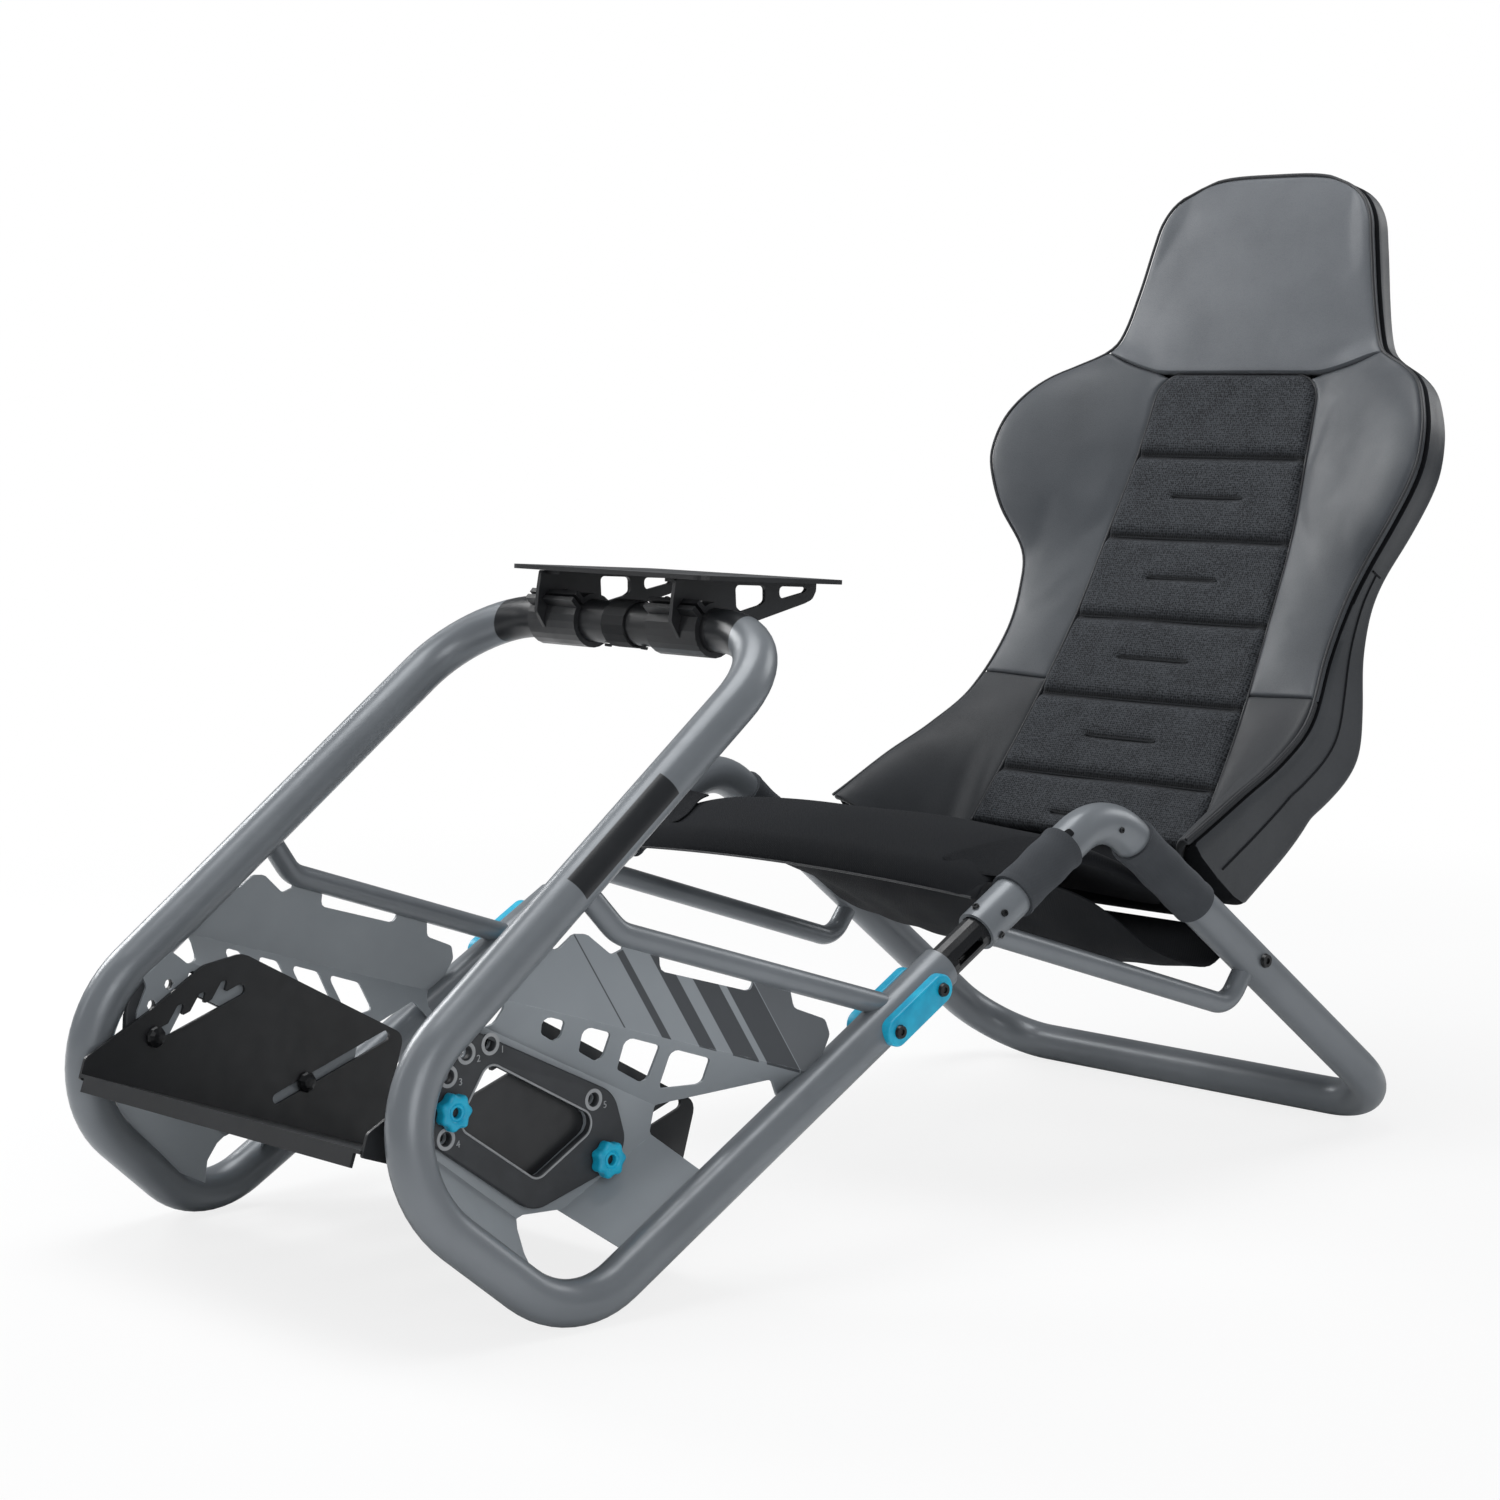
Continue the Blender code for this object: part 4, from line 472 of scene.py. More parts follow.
def leather(name, colours, rough=(0.58, 0.42)):
    return grained(name, HIDE, 700.0, "Object", (0.3, 0.95), colours, rough, (0.16, 0.0003),
                   Specular_IOR_Level=0.42, Sheen_Weight=0.08, Sheen_Roughness=0.5)


CLOTH_SHEEN = (*linear(120, 124, 130), 1.0)


def cloth(name, colours, threads=900.0, sheen=0.3):
    return grained(name, WEAVE, threads, "UV", (0.35, 0.95), colours, (0.82, 0.96), (0.5, 0.0004),
                   Specular_IOR_Level=0.2, Sheen_Weight=sheen, Sheen_Roughness=0.45,
                   Sheen_Tint=CLOTH_SHEEN)


BLACK_END = 0.157
BAND_ALONG, BAND_ABOVE = (0.2341, 0.3604), (-0.0045, 0.0165)
PRINT_SOFT = 0.0003
STRIPE_LEAN, STRIPE_LEVEL = 1.93, 0.25
STRIPES = ((0.0668, 0.0682), (0.0973, 0.1049), (0.1278, 0.1421), (0.1559, 0.1778), (0.1846, 0.2130))
STRIPE_REST = (0.2138, 0.40)
FOLD_TOP = ((-0.0265, 0.2622), (0.2544, 0.1680))


def tube_marks(tree, coords, colour):
    """Black ends towards the crossbar, and a plain dark band along the upper tube's outer side."""
    x, along_y, z = split(tree, coords["Object"])
    out = calc(tree, "ABSOLUTE", x)
    high = between(tree, z, 0.46, 2.0, 0.001)
    near = times(tree, between(tree, out, -1.0, BLACK_END, 0.0004), high)
    y = minus(tree, along_y, SHIFT)
    tilt = math.atan(UPPER_SLOPE)
    above = minus(tree, times_add(tree, y, -UPPER_SLOPE, z), UPPER_RISE)
    above = times(tree, above, math.cos(tilt))
    along = times_add(tree, y, math.cos(tilt), times(tree, z, math.sin(tilt)))
    lean = times_add(tree, y, -TOE, times_add(tree, z, LEAN, out))
    outer = calc(tree, "GREATER_THAN", lean, FOOT_HALF)
    band = times(tree, between(tree, along, *BAND_ALONG, PRINT_SOFT),
                 times(tree, between(tree, above, *BAND_ABOVE, PRINT_SOFT), outer))
    return blend_colour(tree, calc(tree, "MAXIMUM", near, band), colour, linear(34, 36, 39))


def panel_marks(tree, coords, colour):
    """Slanting dark stripes on the outer face of the shelf above the fold."""
    x, along_y, z = split(tree, coords["Object"])
    y = minus(tree, along_y, SHIFT)
    station = times_add(tree, minus(tree, z, STRIPE_LEVEL), 1 / STRIPE_LEAN, y)
    striped = None
    for low, high in STRIPES:
        stripe = between(tree, station, low, high, PRINT_SOFT)
        striped = stripe if striped is None else calc(tree, "MAXIMUM", striped, stripe)
    rest = between(tree, station, *STRIPE_REST, PRINT_SOFT)
    slope = (FOLD_TOP[1][1] - FOLD_TOP[0][1]) / (FOLD_TOP[1][0] - FOLD_TOP[0][0])
    fold = times_add(tree, minus(tree, y, FOLD_TOP[0][0]), slope, FOLD_TOP[0][1])
    above = calc(tree, "GREATER_THAN", z, fold)
    facing = split(tree, tree.nodes.new("ShaderNodeNewGeometry").outputs["Normal"])
    outer = calc(tree, "GREATER_THAN", times(tree, facing[0], x), 0.0)
    where = times(tree, above, outer)
    colour = blend_colour(tree, times(tree, striped, where), colour, linear(76, 79, 83))
    return blend_colour(tree, times(tree, rest, where), colour, linear(104, 108, 112))


def painted_channel_shade(tree, coords, colour):
    """Painted shade: darkens the sewn channels and short pleats of the middle panel, where shade falls in
    their dips.
    """
    x, s, _ = split(tree, coords["UV"])
    count = calc(tree, "DIVIDE", minus(tree, s, CHANNEL_FIRST), CHANNEL_PITCH)
    far = times(tree, calc(tree, "PINGPONG", count, 0.5), CHANNEL_PITCH)
    channel = ramp(tree, far, 0.0065, 0.0012, curve="SMOOTHSTEP")
    pleat = ramp(tree, minus(tree, CHANNEL_PITCH / 2, far), 0.0045, 0.0010, curve="SMOOTHSTEP")
    inside = times(tree, between(tree, x, -DASH_HALF, DASH_HALF, 0.002),
                   calc(tree, "LESS_THAN", s, CHANNEL_FIRST))
    shade = calc(tree, "MAXIMUM", channel, times(tree, pleat, inside))
    return blend_colour(tree, times(tree, shade, 0.85), colour, linear(12, 13, 15))


TUBE_GREY, TUBE_ROUGH = ((119, 124, 129), (132, 137, 142)), (0.30, 0.38)
FRAME_PAINT = painted("frame_paint", TUBE_GREY, TUBE_ROUGH, tube_marks, 0.2, 0.0, 0.003)
REAR_PAINT = painted("rear_frame_paint", TUBE_GREY, TUBE_ROUGH, None, 0.2, 0.0, 0.003)
PANEL_PAINT = painted("panel_paint", ((147, 153, 158), (158, 164, 169)), (0.42, 0.55), panel_marks, 0.15)
BLACK_STEEL = painted("black_steel", ((29, 30, 32), (39, 41, 44)), (0.36, 0.5), wear=0.3)
SLIDE_STEEL = painted("slide_steel", ((28, 29, 31), (42, 44, 47)), (0.2, 0.32), None, 0.3, 0.0)
SCREW_STEEL = painted("screw_steel", ((26, 27, 29), (48, 50, 52)), (0.26, 0.4), None, 0.5, 0.8)
COVER_PLASTIC = moulded("cover_plastic", ((50, 52, 55), (60, 62, 65)), (0.46, 0.58), wear=0.25)
RUBBER = moulded("black_rubber", ((25, 26, 28), (36, 37, 39)), (0.6, 0.75), 0.3, 0.0)
CYAN = moulded("cyan_plastic", ((8, 158, 198), (22, 186, 222)), (0.34, 0.46), 0.5, 0.3)
PRINT = moulded("pale_print", ((150, 152, 154), (166, 168, 170)), (0.5, 0.6), 0.3, 0.0)
LEATHER = leather("grey_leather", ((60, 64, 69), (74, 78, 83)))
HEAD_LEATHER = leather("head_leather", ((83, 87, 92), (99, 103, 108)))
DARK_LEATHER = leather("dark_leather", ((46, 49, 53), (60, 63, 67)), (0.5, 0.36))
PIPING = leather("piping_leather", ((30, 32, 35), (44, 46, 50)), (0.5, 0.4))
SEAT_CLOTH = cloth("seat_cloth", ((13, 15, 18), (26, 28, 32)), sheen=0.06)
WING_LEATHER = leather("wing_leather", ((31, 34, 38), (45, 48, 52)), (0.66, 0.5))
SLEEVE_CLOTH = cloth("sleeve_cloth", ((56, 59, 63), (76, 79, 83)), 1100.0)
# The mesh cloth carries painted shade in its sewn channels and pleats.
MESH_CLOTH = grained("mesh_cloth", KNIT, 420.0, "UV", (0.36, 0.66), ((20, 22, 26), (66, 69, 73)),
                     (0.75, 0.95), (0.7, 0.0008), marks=painted_channel_shade, Specular_IOR_Level=0.25,
                     Sheen_Weight=0.25, Sheen_Roughness=0.5, Sheen_Tint=CLOTH_SHEEN)
THREAD = cloth("thread", ((18, 20, 23), (32, 34, 37)), 2000.0)
SEAM_SHADE = cloth("seam_cord", ((16, 18, 20), (26, 28, 31)), 1600.0)


# ---------------------------------------------------------------- building pieces
def linked(name, data):
    obj = bpy.data.objects.new(name, data)
    bpy.context.scene.collection.objects.link(obj)
    return obj


def evaluated(obj, *helpers):
    """The mesh that an object's curve or modifiers make; the object and its helpers go."""
    made = bpy.data.meshes.new_from_object(obj.evaluated_get(bpy.context.evaluated_depsgraph_get()))
    for holder in (obj, *helpers):
        bpy.data.objects.remove(holder, do_unlink=True)
    return made


def finished(name, mesh, materials, body, replaced=(), smooth=True):
    """Links a finished mesh, in place, ties it to its body and hides the CAD nodes that it replaces."""
    mesh.materials.clear()
    for material in materials if isinstance(materials, (list, tuple)) else [materials]:
        mesh.materials.append(material)
    if smooth:
        mesh.shade_smooth()
        mesh.set_sharp_from_angle(angle=math.radians(42))
    obj = linked(name, mesh)
    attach(obj, body)
    if replaced:
        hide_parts(*replaced)
    return obj


def to_mesh(name, bm):
    bmesh.ops.recalc_face_normals(bm, faces=bm.faces)
    mesh = bpy.data.meshes.new(name)
    bm.to_mesh(mesh)
    bm.free()
    return mesh


def path_stops(line, radius):
    """Centre, direction and radius at each point of a line."""
    last = len(line) - 1
    return [(Vector(point), (line[min(k + 1, last)] - line[max(k - 1, 0)]).normalized(), radius)
            for k, point in enumerate(line)]


def sweep(name, stops, sides, first_normal=Vector((0, 0, 1)), closed=False):
    """A round tube through its stops. UVs run in metres: along the path, and round it."""
    bm = bmesh.new()
    uv = bm.loops.layers.uv.new("UVMap")
    rings, lengths = [], []
    normal, travelled = first_normal, 0.0
    for k, (centre, way, radius) in enumerate(stops):
        normal = (normal - way * normal.dot(way)).normalized()
        side = way.cross(normal)
        if k:
            travelled += (centre - stops[k - 1][0]).length
        lengths.append(travelled)
        angles = [2 * math.pi * j / sides for j in range(sides)]
        rings.append([bm.verts.new(placed(centre + (normal * math.cos(a) + side * math.sin(a)) * radius))
                      for a in angles])
    lengths.append(travelled + 0.001)
    girth = 2 * math.pi * stops[0][2]
    for i in range(len(rings) if closed else len(rings) - 1):
        here, following = rings[i], rings[(i + 1) % len(rings)]
        along = (lengths[i], lengths[i], lengths[i + 1], lengths[i + 1])
        for j in range(sides):
            k = (j + 1) % sides
            face = bm.faces.new((here[j], here[k], following[k], following[j]))
            for loop, u, v in zip(face.loops, along, (j, j + 1, j + 1, j)):
                loop[uv].uv = (u, v / sides * girth)
    if not closed:
        for ring in (rings[0][::-1], rings[-1]):
            for loop in bm.faces.new(ring).loops:
                loop[uv].uv = (loop.vert.co.x, loop.vert.co.z)
    return to_mesh(name, bm)


def cord(name, line, radius, sides, material):
    """A seam or piping along a line of the seat."""
    finished(name, sweep(name, path_stops(line, radius), sides), material, "rear_frame")


def with_bore(stops, depth, inner=SLIDE_R + GAP):
    """Ends a tube in an open mouth with a bore of its own behind it."""
    centre, way, _ = stops[-1]
    return stops + [(centre, way, inner), (centre - way * depth, way, inner)]


def mirror_stops(stops, side):
    return [(mirrored(c, side), mirrored(w, side), r) for c, w, r in stops]


def flat_plate(name, outlines, thickness, bevel, matrix, rounds=3):
    """A plate with round edges from flat outlines, the first one outside and the rest holes."""
    curve = bpy.data.curves.new(name, "CURVE")
    curve.dimensions, curve.fill_mode = "2D", "BOTH"
    curve.extrude, curve.offset = thickness / 2 - bevel, -bevel
    curve.bevel_depth, curve.bevel_resolution = bevel, rounds
    for outline in outlines:
        spline = curve.splines.new("POLY")
        spline.points.add(len(outline) - 1)
        for point, place in zip(spline.points, outline):
            point.co = (place[0], place[1], 0.0, 1.0)
        spline.use_cyclic_u = True
    bm = bmesh.new()
    bm.from_mesh(evaluated(linked(name, curve)))
    bmesh.ops.remove_doubles(bm, verts=bm.verts, dist=0.00002)
    bm.transform(Matrix.Translation((0, SHIFT, 0)) @ matrix)
    return to_mesh(name, bm)


def cut(mesh, cutter_mesh):
    """The mesh with a cutter's volume taken out of it."""
    target, cutter = linked("target", mesh), linked("cutter", cutter_mesh)
    modifier = target.modifiers.new("cut", "BOOLEAN")
    modifier.object, modifier.solver = cutter, "EXACT"
    return evaluated(target, cutter)


def joined(name, meshes):
    bm = bmesh.new()
    for mesh in meshes:
        bm.from_mesh(mesh)
    bmesh.ops.remove_doubles(bm, verts=bm.verts, dist=0.000005)
    return to_mesh(name, bm)


SIDE_VIEW = Matrix(((0, 0, 1, 0), (1, 0, 0, 0), (0, 1, 0, 0), (0, 0, 0, 1)))


def side_view(x):
    return Matrix.Translation((x, 0, 0)) @ SIDE_VIEW


def ring_line(radius, count, centre=(0.0, 0.0)):
    return [Vector((centre[0] + radius * math.cos(2 * math.pi * k / count),
                    centre[1] + radius * math.sin(2 * math.pi * k / count), 0)) for k in range(count)]


# ---------------------------------------------------------------- repeated small things
def geometry_group(name, *inputs):
    tree, given, out = new_group(name, "GeometryNodeTree", [
        ("Geometry", GEOMETRY, None), *inputs, ("Material", "NodeSocketMaterial", None)])
    tree.interface.new_socket("Geometry", in_out="OUTPUT", socket_type=GEOMETRY)
    return tree, given, out


def spread_out(tree, given, out, points, axis, way, **instance):
    """Puts an instance on each point, with its axis turned along way, as one dressed mesh."""
    turn = add(tree, "FunctionNodeAlignRotationToVector", dict(axis=axis), Vector=way)
    many = add(tree, "GeometryNodeInstanceOnPoints", Points=points, Rotation=turn.outputs[0], **instance)
    real = add(tree, "GeometryNodeRealizeInstances", Geometry=many.outputs[0])
    dressed = add(tree, "GeometryNodeSetMaterial", Geometry=real.outputs[0], Material=given["Material"])
    tree.links.new(dressed.outputs[0], out[0])
    return tree


def screw_tree():
    """Socket screws on points: a chamfered head with a hexagonal recess, turned to each point's axis."""
    tree, given, out = geometry_group("socket_screws", ("Head Radius", FLOAT, 0.005),
                                      ("Head Height", FLOAT, 0.003))
    radius, height = given["Head Radius"], given["Head Height"]
    head = add(tree, "GeometryNodeMeshCone", Vertices=28, Side_Segments=3, Depth=height,
               Radius_Top=times(tree, radius, 0.86), Radius_Bottom=radius)
    recess = add(tree, "GeometryNodeMeshCylinder", Vertices=6, Radius=times(tree, radius, 0.48),
                 Depth=height)
    lift = add(tree, "ShaderNodeCombineXYZ", Z=times(tree, height, 0.95))
    lifted = add(tree, "GeometryNodeTransform", Geometry=recess.outputs["Mesh"],
                 Translation=lift.outputs[0])
    carved = add(tree, "GeometryNodeMeshBoolean", dict(operation="DIFFERENCE", solver="EXACT"),
                 i0=head.outputs["Mesh"], i1=lifted.outputs[0])
    axis = add(tree, "GeometryNodeInputNamedAttribute", dict(data_type="FLOAT_VECTOR"), Name="axis")
    return spread_out(tree, given, out, given["Geometry"], "Z", axis.outputs["Attribute"],
                      Instance=carved.outputs["Mesh"])


STITCH_SIZES = {"Pitch": 0.006, "Stitch": 0.0042, "Thread": 0.0006}


def stitch_tree():
    """Short rounded stitches along a line of edges, with even gaps."""
    sizes = [(key, FLOAT, size) for key, size in STITCH_SIZES.items()]
    tree, given, out = geometry_group("stitch_row", *sizes)
    path = add(tree, "GeometryNodeMeshToCurve", Mesh=given["Geometry"])
    evenly = add(tree, "GeometryNodeResampleCurve", dict(mode="LENGTH"), Curve=path.outputs[0],
                 Length=given["Pitch"])
    stitch = add(tree, "GeometryNodeMeshUVSphere", Segments=8, Rings=6, Radius=1.0)
    size = add(tree, "ShaderNodeCombineXYZ", X=times(tree, given["Stitch"], 0.5), Y=given["Thread"],
               Z=given["Thread"])
    way = tree.nodes.new("GeometryNodeInputTangent").outputs[0]
    return spread_out(tree, given, out, evenly.outputs[0], "X", way, Instance=stitch.outputs["Mesh"],
                      Scale=size.outputs[0])


SCREW_TREE, STITCH_TREE = screw_tree(), stitch_tree()


def grown(name, mesh, tree, values, material, body, replaced=()):
    """Runs a geometry tree on a mesh and keeps its result as a plain mesh."""
    holder = linked(name + "_points", mesh)
    modifier = holder.modifiers.new("grown", "NODES")
    modifier.node_group = tree
    names = {item.name: item.identifier for item in tree.interface.items_tree if item.in_out == "INPUT"}
    for key, value in {**values, "Material": material}.items():
        modifier[names[key]] = value
    finished(name, evaluated(holder), material, body, replaced)


def screws(name, places, size, body, replaced=()):
    mesh = bpy.data.meshes.new(name)
    mesh.from_pydata([placed(p) for p, _ in places], [], [])
    axes = mesh.attributes.new("axis", "FLOAT_VECTOR", "POINT")
    for item, (_, axis) in zip(axes.data, places):
        item.vector = axis
    grown(name, mesh, SCREW_TREE, {"Head Radius": size[0], "Head Height": size[1]}, SCREW_STEEL, body,
          replaced)


def stitches(name, lines):
    mesh = bpy.data.meshes.new(name)
    points, edges = [], []
    for line in lines:
        first = len(points)
        points += [placed(p) for p in line]
        edges += [(first + k, first + k + 1) for k in range(len(line) - 1)]
    mesh.from_pydata(points, edges, [])
    grown(name, mesh, STITCH_TREE, STITCH_SIZES, THREAD, "rear_frame")


# ---------------------------------------------------------------- frame tubes
TUBE_SIDES, BRACE_SIDES, CUTTER_SIDES = 40, 28, 48


def make_frame():
    loop = with_bore(path_stops(loop_line(), TUBE_R), LOOP_BORE)
    front, back = (path_stops(line, BRACE_R) for line in (front_brace_line(), rear_brace_line()))
    for name, side in SIDES:
        for label, stops, sides, paint, body, node in (
                ("loop_tube", loop, TUBE_SIDES, FRAME_PAINT, "front_frame", "front_loop_"),
                ("front_strut", front, BRACE_SIDES, REAR_PAINT, "front_frame", "front_brace_"),
                ("rear_strut", back, BRACE_SIDES, REAR_PAINT, "rear_frame", "rear_brace_")):
            finished("%s_%s" % (label, name), sweep(label, mirror_stops(stops, side), sides), paint, body,
                     [node + name])
    stops = with_bore(path_stops(rear_line(), TUBE_R), REAR_SOCKET)
    stops = with_bore([(c, -w, r) for c, w, r in reversed(stops)], REAR_SOCKET)
    finished("rear_tube", sweep("rear_tube", stops, TUBE_SIDES), REAR_PAINT, "rear_frame",
             ["rear_frame_tube"])
    bar = [Vector((x, CROSSBAR_Y, CROSSBAR_Z)) for x in (-CROSSBAR_HALF, CROSSBAR_HALF)]
    finished("crossbar_tube", sweep("crossbar_tube", path_stops(bar, TUBE_R), TUBE_SIDES), BLACK_STEEL,
             "front_frame", ["crossbar"])


def make_slide_clamps():
    """Cyan oval plates with round edges that hug the lower tubes, and their socket screws."""
    places = []
    half, run = CLAMP_WIDE / 2, (CLAMP_LONG - CLAMP_WIDE) / 2
    corners = [(run + half, -half), (run + half, half), (-run - half, half), (-run - half, -half)]
    outline = rounded(corners, half, closed=True)
    for name, side in SIDES:
        way = mirrored(LOWER_WAY, side)
        outward = Vector((side, 0, 0))
        outward = (outward - way * outward.dot(way)).normalized()
        across = outward.cross(way).normalized()
        middle = mirrored(on_lower(LOOP_END_Y), side) - way * (CLAMP_LONG / 2 + CLAMP_BACK)
        turn = Matrix((way, across, outward)).transposed().to_4x4()
        tube = path_stops([middle - way * 0.1, middle + way * 0.1], TUBE_R + GAP)
        for label, sign in (("outer", 1), ("inner", -1)):
            centre = middle + outward * sign * (TUBE_R - CLAMP_SUNK + CLAMP_THICK / 2)
            mesh = flat_plate("clamp", [outline], CLAMP_THICK, CLAMP_EDGE,
                              Matrix.Translation(centre) @ turn)
            mesh = cut(mesh, sweep("clamp_tube", tube, CUTTER_SIDES))
            finished("clamp_%s_%s" % (label, name), mesh, CYAN, "front_frame",
                     ["slide_clamp_%s_%s" % (label, name)])
            face = outward * sign * (TUBE_R - CLAMP_SUNK + CLAMP_THICK + SCREW_PROUD)
            places += [(middle + way * k * run + face, outward * sign) for k in (1, -1)]
    screws("clamp_screws", places, CLAMP_SCREW, "front_frame",
           ["clamp_bolt_%s_%s" % (end, name) for end in ("rear", "front") for name, _ in SIDES])


def make_frame_screws():
    """Socket screws round the telescoping joints, on the hips and the rear legs."""
    joint, legs, hips = [], [], []
    for name, side in SIDES:
        sideways = Vector((side, 0, 0))
        way = mirrored(LOWER_WAY, side)
        upward = sideways.cross(way).normalized() * side
        outward = way.cross(upward).normalized()
        outward = outward if outward.x * side > 0 else -outward
        start = mirrored(on_lower(REAR_START_Y), side) + way * JOINT_INSET
        for angle, along in JOINT_SCREWS:
            out = upward * math.sin(math.radians(angle)) + outward * math.cos(math.radians(angle))
            joint.append((start + way * along + out * (TUBE_R + SCREW_PROUD), out))
        leg = mirrored(leg_point(REAR_BRACE["end_y"]), side)
        legs.append((leg + Vector((side * (TUBE_R + 0.001), 0, 0)), sideways))
        hips.append((Vector((side * (HIP.x + TUBE_R + GAP), HIP_PLUG_Y, HIP_PLUG_Z)), sideways))
    down = Vector((0, -0.2, -1)).normalized()
    under = CROSSBAR_Z - TUBE_R - BAR_SCREW_BELOW
    bar = [(Vector((x, CROSSBAR_Y - BAR_SCREW_AHEAD, under)), down) for x in (-BAR_SCREW_X, BAR_SCREW_X)]
    screws("joint_screws", joint, JOINT_SCREW, "rear_frame", ["slide_bolt_left", "slide_bolt_right"])
    screws("leg_screws", legs, LEG_SCREW, "rear_frame", ["leg_bolt_left", "leg_bolt_right"])
    screws("crossbar_screws", bar, BAR_SCREW, "front_frame")
    screws("hip_plugs", hips, HIP_PLUG, "rear_frame")


# ---------------------------------------------------------------- pedal covers and knobs
def cover_window(margin):
    corners = [Vector((*c, 0)) for c in WINDOW_CORNERS]
    middle = sum(corners, Vector()) / len(corners)
    out = [c + (c - middle).normalized() * margin for c in corners]
    return rounded(out, WINDOW_CORNER + margin, closed=True)


def digit(text, place, side):
    """A plain number standing on the cover's face, as a thin mesh."""
    curve = bpy.data.curves.new("digit", "FONT")
    curve.body, curve.size, curve.extrude = text, DIGIT_HIGH, DIGIT_THICK / 2
    curve.align_x, curve.align_y = "CENTER", "CENTER"
    mesh = evaluated(linked("digit", curve))
    turn = Matrix(((0, 0, side, 0), (side, 0, 0, 0), (0, 1, 0, 0), (0, 0, 0, 1)))
    face = side * (COVER_X + COVER_THICK + 0.0001)
    mesh.transform(Matrix.Translation((face, place[0] + SHIFT, place[1])) @ turn)
    return mesh


def make_pedal_covers():
    loop = path_stops(loop_line(), TUBE_R + GAP)
    for name, side in SIDES:
        outlines = [rounded(COVER_CORNERS, COVER_CORNER, closed=True), cover_window(0.0)]
        outlines += [ring_line(BOLT_R + 0.001, 24, place)
                     for place in (FRONT_BOLT, REAR_BOLT) + RING_HOLES]
        plate = flat_plate("cover", outlines, COVER_THICK, COVER_EDGE,
                           side_view(side * (COVER_X + COVER_THICK / 2)))
        plate = cut(plate, sweep("loop_space", mirror_stops(loop, side), CUTTER_SIDES))
        finished("cover_" + name, plate, COVER_PLASTIC, "front_frame",
                 ["pedal_cover_" + name])
        face = side * (COVER_X + COVER_THICK)
        prints = [flat_plate("ring", [ring_line(RING_OUTER, 32, place), ring_line(RING_INNER, 32, place)],
                             PRINT_THICK, 0.0001, side_view(face), 1) for place in RING_HOLES]
        prints += [digit(str(number + 1), (place[0] + DIGIT_BEHIND, place[1] - DIGIT_BELOW), side)
                   for number, place in enumerate(RING_HOLES)]
        finished("cover_prints_" + name, joined("prints", prints), PRINT, "front_frame",
                 smooth=False)
        rim = [Vector((face, p.x, p.y)) for p in cover_window(WINDOW_RIM)]
        rim = path_stops(rim + rim[:2], RIM_R)[1:-1]
        finished("window_rim_" + name, sweep("rim", rim, 8, Vector((1, 0, 0)), closed=True), PRINT,
                 "front_frame")


def star_line(radius, lobes=7, depth=0.15, count=140):
    return [Vector((math.cos(a), math.sin(a), 0)) * radius
            * (1 - depth / 2 + depth / 2 * math.cos(lobes * a))
            for a in (2 * math.pi * k / count for k in range(count))]


def make_knobs():
    """Star knobs with round edges, a raised hub and a dark bore."""
    cover_face = COVER_X + COVER_THICK + GAP
    for name, side in SIDES:
        for label, (y, z) in (("front", FRONT_BOLT), ("rear", REAR_BOLT)):
            middle = Matrix.Translation((side * (cover_face + KNOB_THICK / 2), y, z)) @ SIDE_VIEW
            star = flat_plate("star", [star_line(KNOB_R), ring_line(KNOB_BORE, 48)], KNOB_THICK,
                              KNOB_ROUND, middle, 6)
            hub = flat_plate("hub", [ring_line(HUB_R, 48), ring_line(BOLT_R + GAP, 48)],
                             KNOB_THICK - HUB_SUNK, HUB_ROUND, middle, 4)
            finished("star_knob_%s_%s" % (label, name), joined("knob", [star, hub]), CYAN,
                     "knob_%s_%s_body" % (label, name), ["knob_%s_%s" % (label, name)])


# ---------------------------------------------------------------- places on the backrest
def back_line(s):
    angle = BACK_ANGLE + s / BACK_RADIUS
    return (BACK_Y + BACK_RADIUS * (math.sin(angle) - math.sin(BACK_ANGLE)),
            BACK_Z - BACK_RADIUS * (math.cos(angle) - math.cos(BACK_ANGLE)), angle)


def panel_half(s):
    return read_table(PANEL_HALF, s)


def panel_edge(s):
    """Half width of the middle panel, with round top corners."""
    into = s - (PANEL_TOP - PANEL_CORNER)
    drop = PANEL_CORNER - math.sqrt(max(PANEL_CORNER ** 2 - into ** 2, 0.0)) if into > 0 else 0.0
    return panel_half(s) - drop


def edge_half(s):
    return read_table(OUTLINE, s)[0]


def crest(s, share):
    """The station of a cell, drawn down towards the round corners of the headrest."""
    return s - CREST_DROP * abs(share) ** 4 * smooth_step((s - CREST_FROM) / (BACK_TOP - CREST_FROM))


def stand_off(s, x):
    """How far the padded edge stands forward of the middle panel."""
    edge, forward = read_table(OUTLINE, s)
    inner = panel_half(min(s, PANEL_TOP))
    return forward * smooth_step((abs(x) - inner) / max(edge - inner, 1e-6))


def off_back(s, x, forward):
    y, z, angle = back_line(s)
    return Vector((x, y - math.sin(angle) * forward, z + math.cos(angle) * forward))


def in_back(s, x, w):
    return off_back(s, x, w + stand_off(s, x))


def even(start, end, step):
    count = max(2, round(abs(end - start) / step))
    return [start + (end - start) * k / count for k in range(count + 1)]


def eased(count, ease=0.35):
    """Shares from 0 to 1 that lie closer together near both ends."""
    return [(1 - ease) * t + ease * smooth_step(t) for t in (k / count for k in range(count + 1))]


def eased_span(start, end, count, ease):
    return [start + (end - start) * t for t in eased(count, ease)]


def two_sided(count, ease):
    return [2 * t - 1 for t in eased(count, ease)]


def roll(distance, width):
    """A quarter-round rise from a pad's rim."""
    t = min(max(distance / width, 0.0), 1.0)
    return math.sqrt(1 - (1 - t) ** 2)


